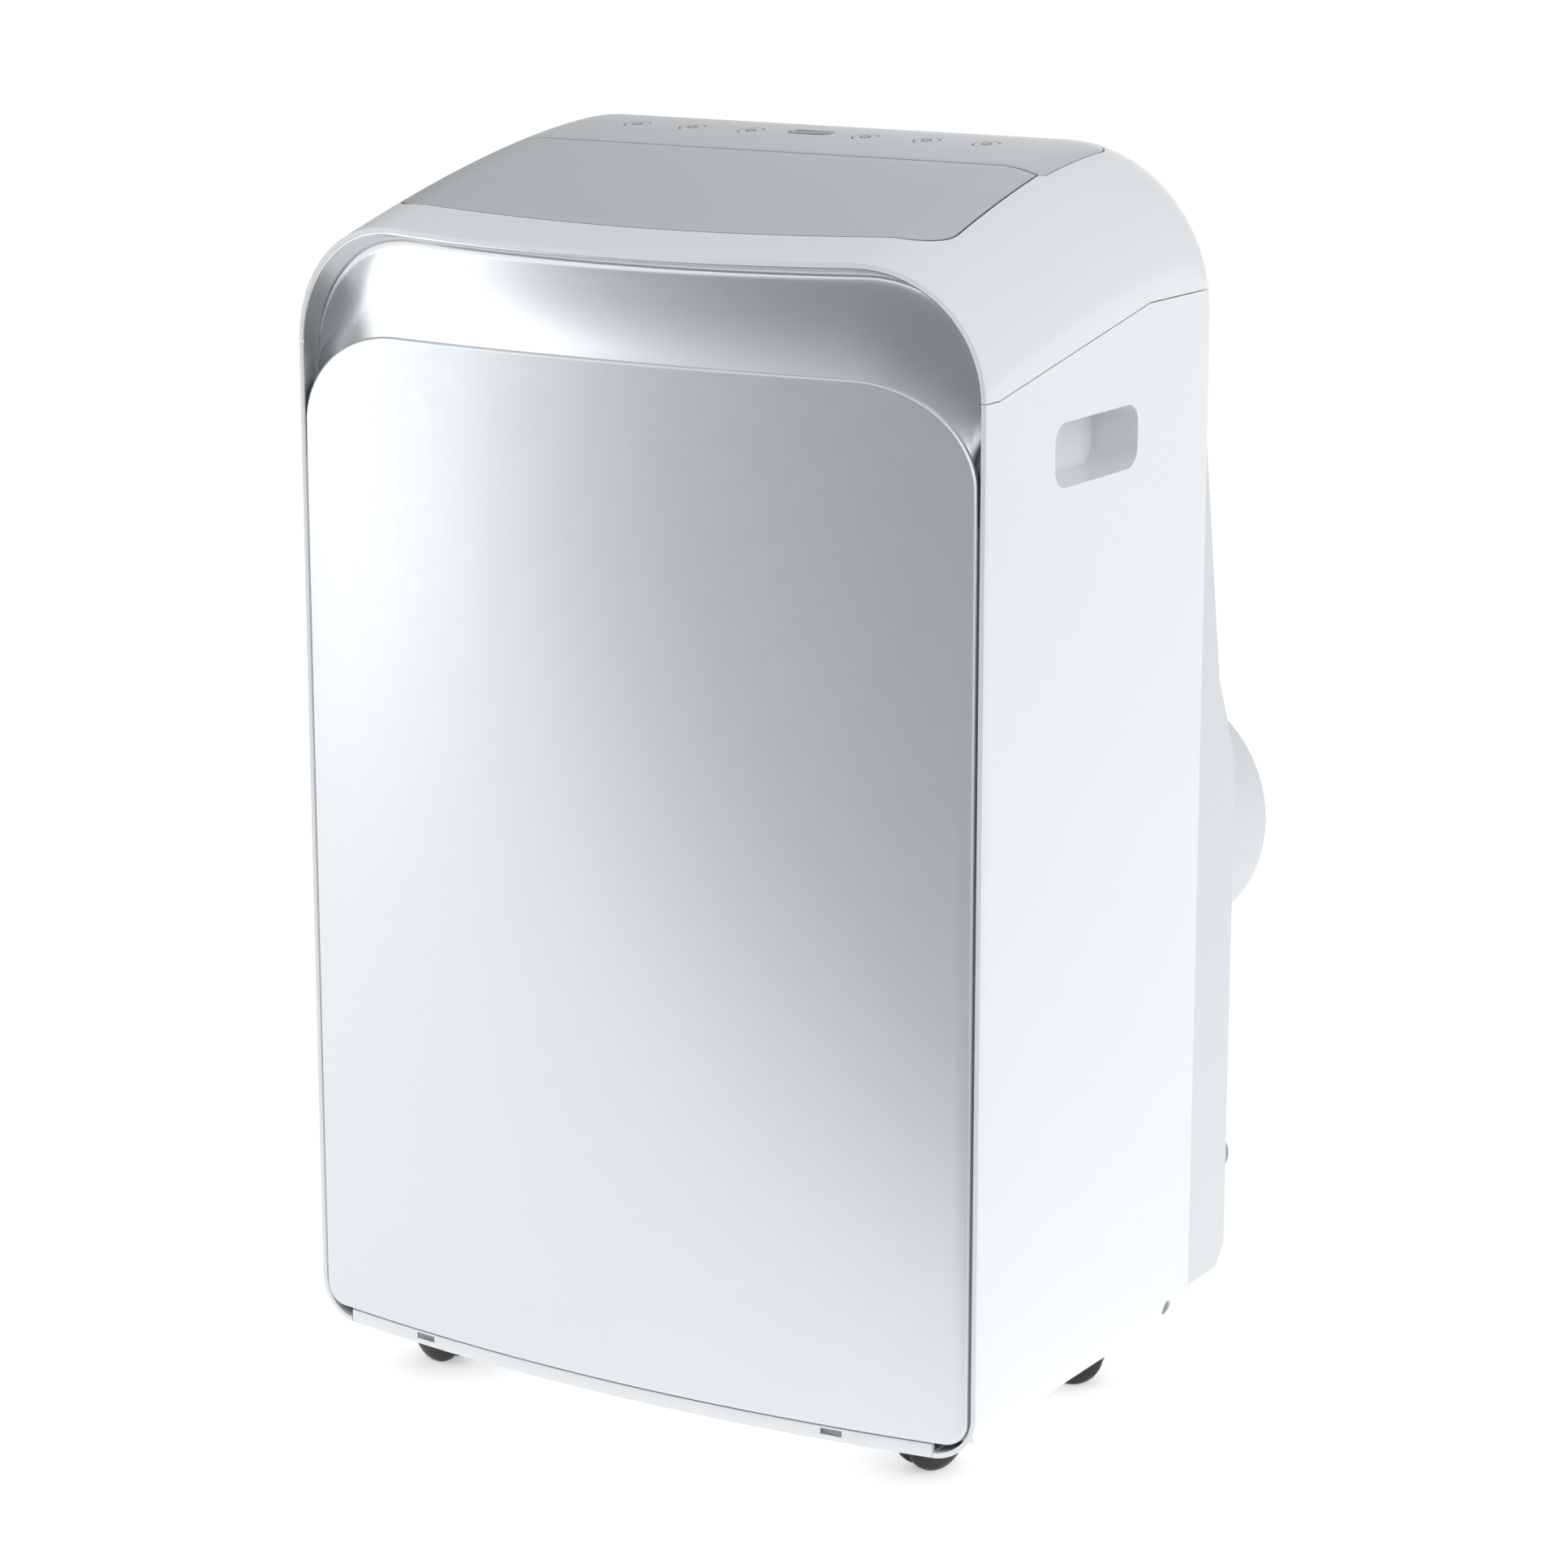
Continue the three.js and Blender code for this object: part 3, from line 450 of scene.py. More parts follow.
# ---- Casing ----
def casing_shell():
    """The whole casing as one open-fronted shell, before it is parted at its joint."""
    dims = sizes()
    fillet, run = 8, 20
    bm = bmesh.new()
    face = rounded_face(bm, -HALF, HALF, CASING_BOTTOM, TOP, dims.foot_radius, dims.top_radius,
                        lambda a, b: (a, 0, b), 18)
    long_edges = [edge for edge in bm.edges if abs(edge.verts[0].co.x - edge.verts[1].co.x) > 0.2]
    bmesh.ops.subdivide_edges(bm, edges=long_edges, cuts=19)
    bm.faces.ensure_lookup_table()
    faces = bm.faces[:]
    for station in range(fillet + run):
        ahead = extrude(bm, faces, (0, -1, 0))
        if station:
            bmesh.ops.delete(bm, geom=faces, context="FACES")
        faces = ahead
    bmesh.ops.delete(bm, geom=faces, context="FACES")
    middle = (TOP + CASING_BOTTOM) / 2
    for vert in bm.verts:
        station = round(-vert.co.y)
        front = bow_y(vert.co.x, 1.2 * MM)
        if station <= fillet:
            turn = station / fillet * math.pi / 2
            y = CROWN_Y + (REAR_Y - CROWN_Y) * math.cos(turn)
        else:
            y = CROWN_Y + (front - CROWN_Y) * (station - fillet) / run
        drop = crown_drop(y) if vert.co.z > middle else 0.0
        vert.co = (vert.co.x, y, vert.co.z - drop)
    finish_normals(bm)
    shell = mesh_object("casing", bm)
    thicken(shell, dims.wall)
    ease_edges(shell, dims.edge)
    return shell


def seam_solid(name, lift_mm):
    outline = [(y, z + lift_mm) for y, z in SEAM]
    return prism_x(name, [*outline, (300, 850), (-300, 850)], -0.4, 0.4)


def flap_plan(bm, grow, rear_grow, z):
    """The louvre's outline seen from above: straight at the rear, bowed at the front, round front corners."""
    rear = FLAP_HIGH.y + rear_grow
    front = FLAP_LOW.y + 16 * MM - grow
    wide_rear = FLAP_HIGH.x - 6 * MM + grow
    wide_front = FLAP_HIGH.x + grow
    corner_face(bm, [(-wide_front, front, z), (wide_front, front, z),
                     (wide_rear, rear, z), (-wide_rear, rear, z)])
    bm.verts.ensure_lookup_table()
    round_corners(bm, list(bm.verts[0:2]), 22 * MM, 10)
    edge = max(bm.edges, key=lambda e: -e.verts[0].co.y - e.verts[1].co.y + e.calc_length() * 0.01)
    bmesh.ops.subdivide_edges(bm, edges=[edge], cuts=24)
    for vert in bm.verts:
        ahead = (rear - vert.co.y) / (rear - front)
        vert.co.y -= 16 * MM * (1 - (vert.co.x / wide_front) ** 2) * ahead
    bm.faces.ensure_lookup_table()
    return bm.faces[0]


def flap_cutter():
    bm = bmesh.new()
    face = flap_plan(bm, 0.9 * MM, 2.4 * MM, 0.6)
    extrude(bm, [face], (0, 0, 0.25))
    finish_normals(bm)
    return mesh_object("flap_cutter", bm)


def control_cutter(grow):
    bm = bmesh.new()
    face = rounded_face(bm, CONTROL_LOW.x - grow, CONTROL_HIGH.x + grow, CONTROL_LOW.y - grow,
                        CONTROL_HIGH.y + grow, 4 * MM, 16 * MM, lambda a, b: (a, b, 0.65), 10)
    extrude(bm, [face], (0, 0, 0.2))
    finish_normals(bm)
    return mesh_object("control_cutter", bm)


def pocket_box(side, grow, depth_grow):
    """The grip pocket as a solid, opening through the side wall."""
    y0, y1, z0, z1 = -96.5 * MM, 2.5 * MM, 586 * MM, 623 * MM
    inner = side * (HALF - 30 * MM - depth_grow)
    bm = bmesh.new()
    face = rounded_face(bm, y0 - grow, y1 + grow, z0 - grow, z1 + grow, 12 * MM, 12 * MM,
                        lambda a, b: (inner, a, b), 10)
    extrude(bm, [face], (side * (HALF + 10 * MM) - inner, 0, 0))
    finish_normals(bm)
    return mesh_object("pocket", bm)


def block(name, low, high):
    """A plain block, for cutting, joining or easing into a small moulding."""
    bm = bmesh.new()
    low, high = Vector(low), Vector(high)
    scale = Matrix.Diagonal((*(high - low), 1))
    bmesh.ops.create_cube(bm, size=1.0, matrix=Matrix.Translation((low + high) / 2) @ scale)
    return mesh_object(name, bm)


class CLIMATE_OT_casing(bpy.types.Operator):
    """Top shell and side panels with their grip pockets"""

    bl_idname = "climate.casing"
    bl_label = "Casing"

    def execute(self, context):
        shell = casing_shell()
        top = copy_of(shell, "casing_top")
        carve(top, seam_solid("above", 0.0), "INTERSECT")
        carve(top, flap_cutter())
        carve(top, control_cutter(0.6 * MM))
        set_piece(top, "cabinet", MATERIALS["white"], ["top_shell"])
        for side, name in ((1, "right"), (-1, "left")):
            panel = copy_of(shell, f"casing_side_{name}")
            near, far = sorted((side * (HALF - 25 * MM), side * (HALF + 5 * MM)))
            carve(panel, block("keep", (near, -0.3, 0), (far, 0.3, 0.9)), "INTERSECT")
            carve(panel, seam_solid("above", -0.7))
            carve(panel, block("rear_opening", (-0.222, 0.08, 0), (0.222, 0.1, 0.8)))
            cup = pocket_box(side, 2.5 * MM, 2.5 * MM)
            inner, outer = sorted((side * (HALF - 1 * MM), side * 0.4))
            carve(cup, block("trim", (inner, -0.3, 0.5), (outer, 0.3, 0.7)))
            carve(panel, cup, "UNION")
            carve(panel, pocket_box(side, 0, 0))
            screw = Vector((side * (HALF - 2 * MM), 64.5 * MM, 54 * MM))
            reach = Vector((side * 10 * MM, 0, 0))
            carve(panel, cylinder("hole", 4.6 * MM, screw - reach, screw + reach, 48))
            set_piece(panel, "cabinet", MATERIALS["white"], [f"{name}_side_panel"])
            outline = [(0, 0), (0, 4.2), (5, 4.2), (6, 3.4), (6.3, 0)]
            cap = turned(f"screw_cap_{name}", [(along * MM, radius * MM) for along, radius in outline],
                         screw - Vector((side * 6 * MM, 0, 0)), (side, 0, 0), 32)
            set_piece(cap, "cabinet", MATERIALS["grey"], [f"{name}_side_screw"])
        discard(shell)
        return {"FINISHED"}


# ---- Front ----
def outline_point(share, half, top, radius_x, radius_z, foot):
    """A point on a round-shouldered arch, share running 0 to 1 from the left foot to the right foot."""
    side = top - radius_z - foot
    lengths = (side, (radius_x + radius_z) * math.pi / 4, 2 * (half - radius_x))
    total = 2 * lengths[0] + 2 * lengths[1] + lengths[2]
    along = share * total
    mirror = along > total / 2
    along = min(along, total - along)
    if along <= lengths[0]:
        x, z = -half, foot + along
    elif along <= lengths[0] + lengths[1]:
        turn = (along - lengths[0]) / lengths[1] * math.pi / 2
        x = -half + radius_x - radius_x * math.cos(turn)
        z = top - radius_z + radius_z * math.sin(turn)
    else:
        x, z = -half + radius_x + along - lengths[0] - lengths[1], top
    return (-x if mirror else x), z


def scoop_depth(share):
    """The band's hollow from its rim (0) to behind the panel (1): a tight upper lip, then a long rise."""
    lip = min(share / 0.10, 1.0)
    rise = max(share - 0.10, 0.0) / 0.90
    return math.sin(lip * math.pi / 2) * (1 - rise ** 1.9)


SCOOP_REACH = 78 * MM  # the silver ends this far below the panel's top edge, and plain white runs on down


class CLIMATE_OT_front(bpy.types.Operator):
    """Bowed front panel, scooped silver band and base strip"""

    bl_idname = "climate.front"
    bl_label = "Front"

    def execute(self, context):
        self.panel()
        self.band()
        self.backing()
        return {"FINISHED"}

    def panel(self):
        half, thick, corner, corner_height = PANEL_HIGH.x, 3.5 * MM, 74 * MM, 58 * MM
        bm = bmesh.new()
        face = rounded_face(bm, -half, half, PANEL_LOW.z, PANEL_HIGH.z, 14 * MM, corner,
                            lambda a, b: (a, 0, b), 20)
        shoulder = PANEL_HIGH.z - corner
        for vert in bm.verts:
            if vert.co.z > shoulder:
                vert.co.z = PANEL_HIGH.z - (PANEL_HIGH.z - vert.co.z) * corner_height / corner
        extrude(bm, [face], (0, thick, 0))
        rim = [edge for edge in bm.edges if len(edge.link_faces) == 2 and edge.calc_face_angle() > 1.0
               and max(abs(v.co.y) for v in edge.verts) < 1e-6]
        bmesh.ops.bevel(bm, geom=rim, offset=2.2 * MM, offset_type="OFFSET", segments=5, profile=0.5,
                        affect="EDGES", clamp_overlap=True, material=-1)
        slice_mesh(bm, 0, spread(-half, half, 48))
        for vert in bm.verts:
            vert.co.y += bow_y(vert.co.x)
        finish_normals(bm)
        piece = mesh_object("front_cover", bm)
        set_piece(piece, "cabinet", MATERIALS["pearl"], ["front_panel"], 50)

    def band(self):
        """A grid laid between the casing's rim and the line behind the panel's edge, down both sides."""
        along, across = 260, 26
        radius, wall = sizes().top_radius, sizes().wall + 0.3 * MM
        foot = CASING_BOTTOM + 12 * MM
        behind = 5 * MM  # how far the band runs in behind the panel's edge
        bm = bmesh.new()
        bmesh.ops.create_grid(bm, x_segments=along, y_segments=across, size=0.5)
        for vert in bm.verts:
            share, step = vert.co.x + 0.5, vert.co.y + 0.5
            rim_x, rim_z = outline_point(share, HALF - wall, TOP - wall, radius - wall, radius - wall, foot)
            drop = crown_drop(bow_y(rim_x))
            rim_z -= drop * min((rim_z - foot) / (TOP - radius - foot), 1.0)
            lip_x, lip_z = outline_point(share, PANEL_HIGH.x - behind, PANEL_HIGH.z - behind,
                                         69 * MM, 54 * MM, foot)
            x = rim_x + (lip_x - rim_x) * step
            z = rim_z + (lip_z - rim_z) * step
            room = min(math.hypot(rim_x - lip_x, rim_z - lip_z) / (55 * MM), 1.0)
            start = 2.4 * MM + 1.4 * MM * min(step / 0.1, 1.0)
            hollow = (sizes().scoop - 3.8 * MM) * room * scoop_depth(step)
            vert.co = (x, bow_y(x, start + hollow), z)
        finish_normals(bm)
        if sum(face.normal.y * face.calc_area() for face in bm.faces) > 0:
            bmesh.ops.reverse_faces(bm, faces=bm.faces[:])
        piece = mesh_object("scooped_band", bm)
        thicken(piece, 1.5 * MM)
        set_piece(piece, "cabinet", MATERIALS["silver"], ["front_frame"], 60)
        piece.data.materials.append(MATERIALS["white"])
        for face in piece.data.polygons:
            face.material_index = int(face.center.z < PANEL_HIGH.z - SCOOP_REACH)

    def backing(self):
        """The strip under the panel and the two latches in it."""
        eased_copy("base_tray", "base_pan", "cabinet", MATERIALS["white"], 0.5 * MM)
        for x in (-145 * MM, 145 * MM):
            middle, reach = Vector((x, bow_y(x) + 4.2 * MM, 40.1 * MM)), Vector((6.5, 1.5, 1.7)) * MM
            latch = block(f"panel_latch_{'left' if x < 0 else 'right'}", middle - reach, middle + reach)
            ease_edges(latch, 0.4 * MM, 2)
            set_piece(latch, "cabinet", MATERIALS["grey"])


# ---- Top ----
def laid_sheet(name, bm, thickness, easing, segments, lift=0.0):
    """Lays a flat outline on the crown, gives it thickness and rounds its edges."""
    for vert in bm.verts:
        vert.co.z = top_z(vert.co.x, vert.co.y) + lift
    finish_normals(bm)
    if sum(face.normal.z for face in bm.faces) < 0:
        bmesh.ops.reverse_faces(bm, faces=bm.faces[:])
    sheet = mesh_object(name, bm)
    thicken(sheet, thickness)
    ease_edges(sheet, easing, segments, 50)
    return sheet


def shoulder_slices(half):
    ends = [155, 160, 164, 168, 172, 176, 180, 184]
    places = [end * MM for end in ends if end * MM < half]
    return [-place for place in places] + places


class CLIMATE_OT_top(bpy.types.Operator):
    """Louvre, control panel, display window, keys and their marks"""

    bl_idname = "climate.top"
    bl_label = "Top"

    def execute(self, context):
        self.louvre()
        self.controls()
        for index in range(1, 6):
            paint(f"air_vane_{index}", "black")
        paint("vane_link", "black")
        paint("air_outlet_duct", "white")
        return {"FINISHED"}

    def louvre(self):
        bm = bmesh.new()
        flap_plan(bm, 0.0, 0.0, 0.0)
        slice_mesh(bm, 0, shoulder_slices(FLAP_HIGH.x))
        slice_mesh(bm, 1, spread(FLAP_LOW.y, FLAP_HIGH.y, 22))
        flap = laid_sheet("louvre", bm, 3 * MM, 1.1 * MM, 4)
        hinge_y, hinge_z = JOINTS["flap_hinge"]["pos_m"][1:]
        pin_radius, pin_reach = 1.6 * MM, 20.5 * MM
        for side in (-1, 1):
            root = Vector((side * 150 * MM, hinge_y, hinge_z))
            lug = block("lug", root - Vector((1.5, 5, 4)) * MM,
                        (root.x + 1.5 * MM, root.y + 5 * MM, 749 * MM))
            carve(flap, lug, "UNION")
            pin = cylinder("pin", pin_radius, root, root + Vector((side * pin_reach, 0, 0)), 32)
            carve(flap, pin, "UNION")
        set_piece(flap, "flap", MATERIALS["pearl"], ["louvre_flap"])

    def controls(self):
        bm = bmesh.new()
        rounded_face(bm, CONTROL_LOW.x, CONTROL_HIGH.x, CONTROL_LOW.y, CONTROL_HIGH.y, 4 * MM, 16 * MM,
                     lambda a, b: (a, b, 0), 10)
        slice_mesh(bm, 0, shoulder_slices(CONTROL_HIGH.x))
        slice_mesh(bm, 1, spread(CONTROL_LOW.y, CONTROL_HIGH.y, 16))
        panel = laid_sheet("control_fascia", bm, 2.5 * MM, 0.5 * MM, 2)
        low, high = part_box("display_window")
        middle, reach = (low + high) / 2, (high - low) / 2
        bm = bmesh.new()
        face = rounded_face(bm, low.x - 0.3 * MM, high.x + 0.3 * MM, low.y - 0.3 * MM, high.y + 0.3 * MM,
                            6 * MM, 6 * MM, lambda a, b: (a, b, 0.7), 10)
        extrude(bm, [face], (0, 0, 0.1))
        finish_normals(bm)
        carve(panel, mesh_object("window_cutter", bm))
        for node in KEY_NODES:
            x, y = centre_of(node).xy
            carve(panel, cylinder("key_cutter", 8.4 * MM, (x, y, 0.7), (x, y, 0.8), 64))
            self.key(node, x, y)
        set_piece(panel, "cabinet", MATERIALS["acrylic"], ["control_panel"])
        bm = bmesh.new()
        rounded_face(bm, middle.x - reach.x, middle.x + reach.x, middle.y - reach.y, middle.y + reach.y,
                     5.8 * MM, 5.8 * MM, lambda a, b: (a, b, 0), 10)
        window = laid_sheet("display_lens", bm, 2.2 * MM, 0.3 * MM, 2, lift=-0.1 * MM)
        set_piece(window, "cabinet", MATERIALS["smoked"], ["display_window"])

    def key(self, node, x, y):
        """A round key lying in the crown, with a plain printed mark."""
        name = node.replace("_key", "")
        body = f"{name}_button"
        top = top_z(x, y)
        outline = [(-2.4, 0), (-2.4, 7.7), (-0.3, 7.7), (0, 7.3), (0.05, 0)]
        profile = [(along * MM, radius * MM) for along, radius in outline]
        lean = Vector((0, top_z(x, y - 4 * MM) - top_z(x, y + 4 * MM), 8 * MM))
        cap = turned(f"{name}_cap", profile, (x, y, top), lean, 48)
        set_piece(cap, body, MATERIALS["acrylic"], [node])
        low, high, inner, outer = 0.02 * MM, 0.12 * MM, 2.6 * MM, 3.4 * MM
        ring = [(low, inner), (high, inner), (high, outer), (low, outer), (low, inner)]
        mark = turned(f"{name}_mark", ring, (x, y, top + 0.05 * MM), lean, 32)
        set_piece(mark, body, MATERIALS["ink"])


# ---- Rear ----
def housing_solid(name, inset_mm, front_mm):
    """The rear housing's sloping, round-edged body."""
    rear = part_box("lower_grille")[1].y / MM - inset_mm
    foot = HOUSING_LOW.z / MM + inset_mm
    half = HOUSING_HIGH.x - inset_mm * MM
    top_y, top = 91.5 - inset_mm * 0.9, 654 - inset_mm
    outline = [(front_mm, foot), (rear - 8, foot), (rear, foot + 10), (rear, 385 - inset_mm / 2),
               (127 - inset_mm, 437 - inset_mm / 2)]
    if front_mm > top_y:
        outline += [(front_mm, top - (front_mm - 91.5) * 6.1)]  # the front face cuts the slope off short
    else:
        outline += [(top_y, top), (front_mm, top)]
    bm = bmesh.new()
    face = corner_face(bm, [(-half, y * MM, z * MM) for y, z in outline])
    extrude(bm, [face], (2 * half, 0, 0))
    finish_normals(bm)
    uprights = [edge for edge in bm.edges if all(abs(abs(v.co.x) - half) < 1e-6 for v in edge.verts)
                and edge.verts[0].co.x * edge.verts[1].co.x > 0
                and min(v.co.y for v in edge.verts) > 110 * MM]
    bmesh.ops.bevel(bm, geom=uprights, offset=(12 - inset_mm) * MM, offset_type="OFFSET", segments=6,
                    profile=0.5, affect="EDGES", clamp_overlap=True, material=-1)
    return mesh_object(name, bm)


def along_y(name, radius, centre, near, far, sides=48):
    """A cylinder that runs front to back through a centre."""
    return cylinder(name, radius, (centre.x, near, centre.z), (centre.x, far, centre.z), sides)


class CLIMATE_OT_rear(bpy.types.Operator):
    """Rear housing with the exhaust outlet, grilles, cord parts and drain cap"""

    bl_idname = "climate.rear"
    bl_label = "Rear"

    def execute(self, context):
        centre, drain = centre_of("exhaust_collar"), centre_of("drain_cap")
        housing = housing_solid("rear_housing", 0.0, 91.9)
        boss = along_y("boss", 82 * MM, centre, 0.13, HIGH.y, 128)
        hollow = housing_solid("hollow", 3.5, 60)
        carve(housing, hollow)
        ease_edges(boss, 2.0 * MM, 4, 60)
        carve(housing, boss, "UNION")
        # The strip that closes the gap under the top shell, and the ledge that joins it to the slope.
        strip, ledge = (0.0874, 0.0915, 0.640, 0.6784), (0.0880, 0.0926, 0.641, 0.6480)
        for low_y, high_y, low_z, high_z in (strip, ledge):
            carve(housing, block("strip", (-0.2214, low_y, low_z), (0.2214, high_y, high_z)), "UNION")
        carve(housing, along_y("bore", 76 * MM, centre, 0.09, 0.21, 128))
        carve(housing, block("upper", (-0.201, 0.07, 0.455), (0.201, 0.145, 0.638)))
        carve(housing, block("lower", (-0.166, 0.15, 0.082), (0.172, 0.17, 0.232)))
        carve(housing, along_y("drain", 9 * MM, drain, 0.15, 0.17))
        carve(housing, along_y("cord", 6 * MM, centre_of("cord_gland"), 0.15, 0.17))
        set_piece(housing, "cabinet", MATERIALS["textured"], ["rear_casing"])
        for node in ("upper_grille", "lower_grille"):
            eased_copy(node, node.replace("grille", "louvres"), node.replace("grille", "intake"),
                       MATERIALS["white"], 0.5 * MM)
        for node in ("cord_hook_upper", "cord_hook_lower", "plug_holder"):
            eased_copy(node, f"{node}_moulding", "cabinet", MATERIALS["white"], 0.8 * MM)
        eased_copy("exhaust_collar", "exhaust_ring", "cabinet", MATERIALS["white"], 0.5 * MM)
        self.drain_knob(drain)
        for node, finish in (("upper_filter", "net"), ("lower_filter", "net"), ("cord_gland", "black")):
            paint(node, finish)
        return {"FINISHED"}

    def drain_knob(self, centre):
        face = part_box("lower_grille")[1].y
        outline = [(-10, 0), (-10, 8), (0.6, 8), (0.6, 16), (1.2, 16.4), (8, 16.4), (10, 15.2),
                   (10.8, 12), (11, 0)]
        profile = [(along * MM, radius * MM) for along, radius in outline]
        knob = turned("drain_knob", profile, (centre.x, face, centre.z), (0, 1, 0))
        set_piece(knob, "drain_knob", MATERIALS["grey"], ["drain_cap"])


# ---- Casters ----
class CLIMATE_OT_casters(bpy.types.Operator):
    """Hooded twin-wheel casters"""

    bl_idname = "climate.casters"
    bl_label = "Casters"

    def execute(self, context):
        for name in CASTERS:
            roll = JOINTS[f"{name}_roll"]
            self.wheels(name, Vector(roll["pos_m"]), Vector(roll["axis"]))
            paint(f"caster_fork_{name}", "black")
        paint("base_drain_plug", "rubber")
        return {"FINISHED"}

    def wheels(self, name, hub, axis):
        """Two domed wheels with round treads on one axle."""
        tread = [(4, 0), (4, 17.5), (4.6, 19.4), (6, 20), (7.6, 19.9), (9.2, 19), (10.5, 17.2), (11.5, 14.4),
                 (12.1, 11), (12.4, 7), (12.5, 3), (12.5, 0)]
        profile = [(along * MM, radius * MM) for along, radius in tread]
        right = turned("wheel", profile, hub, axis, 64)
        left = turned("wheel_twin", profile, hub, -axis, 64)
        axle = cylinder("axle", 2.5 * MM, hub - axis * 5 * MM, hub + axis * 5 * MM, 32)
        carve(right, axle, "UNION")
        carve(right, left, "UNION")
        right.name = f"twin_wheels_{name}"
        set_piece(right, f"wheels_{name}", MATERIALS["black"], [f"caster_wheels_{name}"])


# ---- Inside ----
class CLIMATE_OT_inside(bpy.types.Operator):
    """Finishes for the refrigeration parts, fans and ducts"""

    bl_idname = "climate.inside"
    bl_label = "Inside"

    def execute(self, context):
        finishes = {
            "fins": ("evaporator_coil", "condenser_coil"),
            "copper": ("suction_pipe", "discharge_pipe"),
            "enamel": ("compressor",),
            "zinc": ("upper_fan_motor", "lower_fan_motor", "louvre_motor"),
            "black": ("upper_blower_wheel", "lower_blower_wheel"),
            "grey": ("upper_blower_housing", "lower_blower_housing", "exhaust_duct", "drip_tray",
                     "control_box"),
        }
        for finish, nodes in finishes.items():
            for node in nodes:
                paint(node, finish)
        return {"FINISHED"}


# ---- Stage ----
def toward(azimuth, elevation):
    """The unit direction at an azimuth, in degrees round from the front, and an elevation."""
    around, up = math.radians(azimuth), math.radians(elevation)
    return Vector((math.sin(around) * math.cos(up), -math.cos(around) * math.cos(up), math.sin(up)))


MIDDLE_HEIGHT = 0.4  # metres; the soft lights look at this height
FLOOR_AHEAD = (0.70, -0.714, 0.0)  # the floor's painted glow fades and its painted shade deepens in this direction
FLOOR_PAINTED_FALLOFF = (0.32, 0.88)  # metres that way at which the painted glow and painted shade start and stop changing


def aim(place, target):
    return (Vector(target) - Vector(place)).to_track_quat("-Z", "Y")


def softbox(name, azimuth, elevation, distance, width, height, power):
    """A large soft light that looks at the middle of the object."""
    place = toward(azimuth, elevation) * distance
    place.z += MIDDLE_HEIGHT
    lamp = bpy.data.lights.new(name, "AREA")
    lamp.shape = "RECTANGLE"
    lamp.size = width
    lamp.size_y = height
    lamp.energy = power
    made = bpy.data.objects.new(name, lamp)
    made.location = place
    made.rotation_mode = "QUATERNION"
    made.rotation_quaternion = aim(place, (0, 0, MIDDLE_HEIGHT))
    bpy.context.scene.collection.objects.link(made)


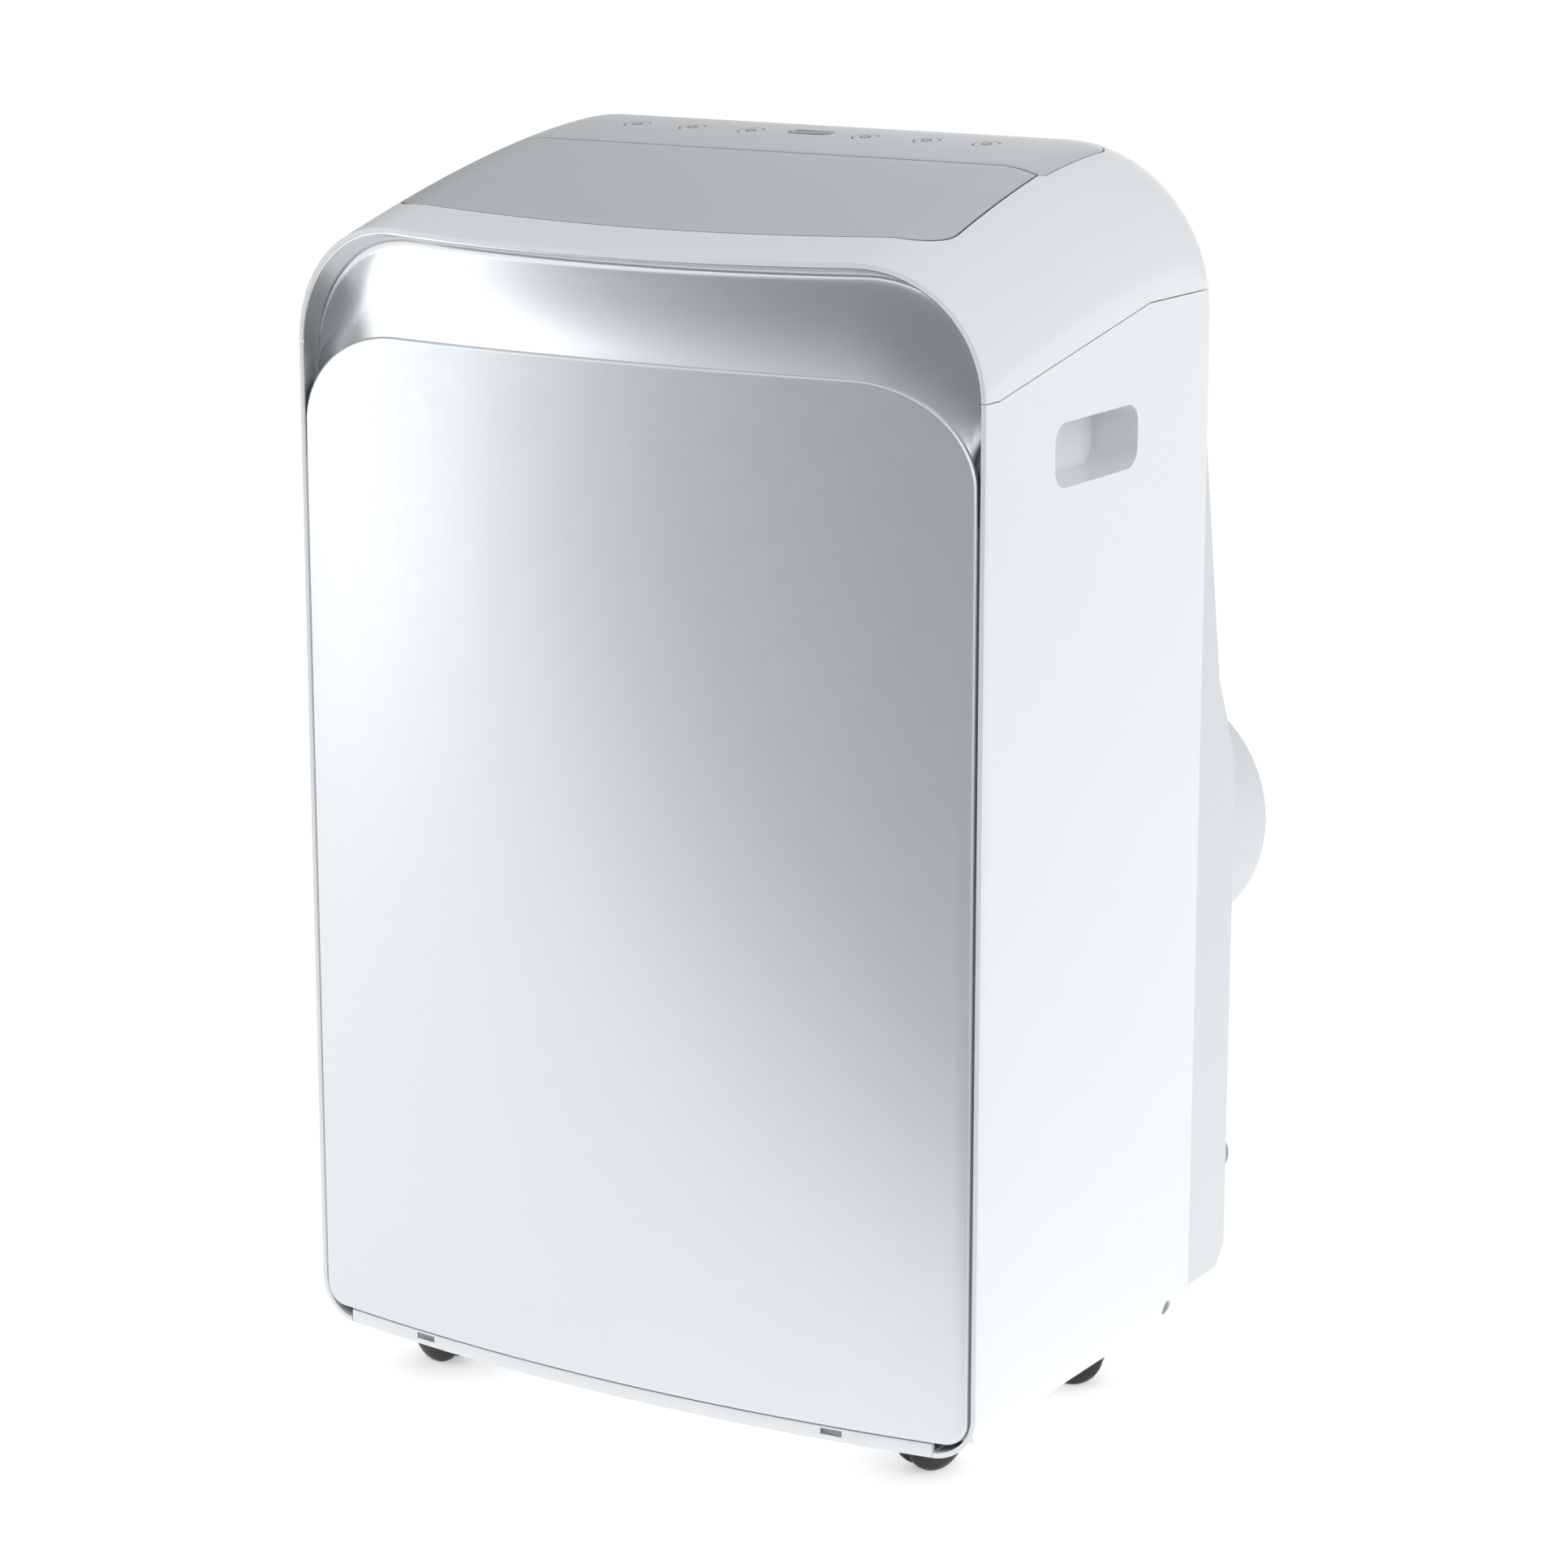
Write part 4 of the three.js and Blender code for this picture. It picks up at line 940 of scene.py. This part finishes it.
class CLIMATE_OT_stage(bpy.types.Operator):
    """Pale floor, soft studio light and the camera"""

    bl_idname = "climate.stage"
    bl_label = "Stage"

    def execute(self, context):
        bm = bmesh.new()
        bmesh.ops.create_grid(bm, x_segments=1, y_segments=1, size=15.0)
        floor = mesh_object("floor", bm)
        floor.data.materials.append(self.backdrop())
        self.room()
        softbox("left_softbox", -58, 12, 3.2, 1.8, 3.4, 18)
        softbox("right_softbox", 84, 16, 3.0, 2.6, 3.2, 21)
        self.camera()
        context.scene.view_settings.view_transform = "Standard"
        return {"FINISHED"}

    def backdrop(self):
        """Matt board with a painted glow, as if lit from beneath on a light table, and painted shade that greys
        it ahead of the front.
        """
        material, tree, place = start_material("board_with_painted_glow_and_shade")
        grain = add_node(tree, "ShaderNodeTexNoise", {"Scale": 220.0, "Detail": 2.0}, {"Vector": place})
        bump = add_node(tree, "ShaderNodeBump", {"Strength": 0.02, "Distance": 0.0005},
                        {"Height": grain.outputs["Fac"]})
        ahead = add_node(tree, "ShaderNodeVectorMath", {"operation": "DOT_PRODUCT"}, {0: place})
        ahead.inputs[1].default_value = FLOOR_AHEAD
        start, stop = FLOOR_PAINTED_FALLOFF
        # The emission is painted glow, brightest round the object; the base colour (tint) greys ahead with
        # painted shade.
        painted_glow, tint = (add_node(tree, "ShaderNodeMapRange",
                               {"interpolation_type": "SMOOTHSTEP", "From Min": start, "From Max": stop,
                                "To Min": near, "To Max": far},
                               {"Value": ahead.outputs["Value"]})
                      for near, far in ((0.42, 0.07), (0.95, 0.44)))
        end_material(tree, {"Roughness": 0.9, "Emission Color": (1.0, 1.0, 1.0, 1.0)},
                     {"Base Color": tint.outputs["Result"], "Emission Strength": painted_glow.outputs["Result"],
                      "Normal": bump.outputs["Normal"]})
        return material

    def lobe(self, tree, place, azimuth, elevation, near, far, level):
        """A soft darkening of the room round one direction."""
        facing = add_node(tree, "ShaderNodeVectorMath", {"operation": "DOT_PRODUCT"}, {0: place})
        facing.inputs[1].default_value = toward(azimuth, elevation)
        return add_node(tree, "ShaderNodeMapRange", {"interpolation_type": "SMOOTHSTEP", "From Min": far,
                                                     "From Max": near, "To Min": 1.0, "To Max": level},
                        {"Value": facing.outputs["Value"]}).outputs["Result"]

    def room(self):
        """A soft room, darker ahead of the front, at the far left, and above and behind the rear."""
        world = bpy.data.worlds.new("studio")
        bpy.context.scene.world = world
        world.use_nodes = True
        tree = world.node_tree
        tree.nodes.clear()
        place = add_node(tree, "ShaderNodeTexCoord").outputs["Generated"]
        level = self.lobe(tree, place, 8, 8, 0.97, 0.45, 0.30)
        for azimuth, elevation, near, far, dark in ((-108, 4, 0.96, 0.60, 0.25), (184, 56, 0.97, 0.55, 0.58),
                                                    (150, 4, 0.97, 0.70, 0.62)):
            other = self.lobe(tree, place, azimuth, elevation, near, far, dark)
            both = add_node(tree, "ShaderNodeMath", {"operation": "MULTIPLY"}, {0: level, 1: other})
            level = both.outputs["Value"]
        strength = add_node(tree, "ShaderNodeMath", {"operation": "MULTIPLY", 1: 1.02}, {0: level})
        sky = add_node(tree, "ShaderNodeBackground", {"Color": (0.955, 0.98, 1.0, 1.0)},
                       {"Strength": strength.outputs["Value"]})
        add_node(tree, "ShaderNodeOutputWorld", links={"Surface": sky.outputs["Background"]})

    def camera(self):
        azimuth, elevation, distance = 31.96, 13.68, 2.701
        target = Vector((-0.0041, 0, 0.3680))
        place = target + distance * toward(azimuth, elevation)
        lens = bpy.data.cameras.new("camera")
        lens.lens = 101.1
        lens.sensor_width = 36
        made = bpy.data.objects.new("camera", lens)
        made.location = place
        made.rotation_euler = aim(place, target).to_euler()
        bpy.context.scene.collection.objects.link(made)
        bpy.context.scene.camera = made


class CLIMATE_PT_panel(bpy.types.Panel):
    """Sizes, colours and pieces of the air conditioner"""

    bl_label = "Portable Air Conditioner"
    bl_idname = "CLIMATE_PT_panel"
    bl_space_type = "VIEW_3D"
    bl_region_type = "UI"
    bl_category = "Climate"

    def draw(self, context):
        for group in (context.scene.casing_sizes, context.scene.finish_colours):
            for key in group.__annotations__:
                self.layout.prop(group, key)
        for operator in OPERATORS:
            self.layout.operator(operator.bl_idname)


OPERATORS = (CLIMATE_OT_stage, CLIMATE_OT_casing, CLIMATE_OT_front, CLIMATE_OT_top, CLIMATE_OT_rear,
             CLIMATE_OT_casters, CLIMATE_OT_inside)
CLASSES = (CasingSizes, FinishColours, *OPERATORS, CLIMATE_PT_panel)


def register():
    for item in CLASSES:
        bpy.utils.register_class(item)
    bpy.types.Scene.casing_sizes = PointerProperty(type=CasingSizes)
    bpy.types.Scene.finish_colours = PointerProperty(type=FinishColours)


def unregister():
    del bpy.types.Scene.finish_colours
    del bpy.types.Scene.casing_sizes
    for item in reversed(CLASSES):
        bpy.utils.unregister_class(item)


def main():
    register()
    MATERIALS.update(make_materials())
    bpy.ops.climate.stage()
    bpy.ops.climate.casing()
    bpy.ops.climate.front()
    bpy.ops.climate.top()
    bpy.ops.climate.rear()
    bpy.ops.climate.casters()
    bpy.ops.climate.inside()


if __name__ == "__main__":
    main()
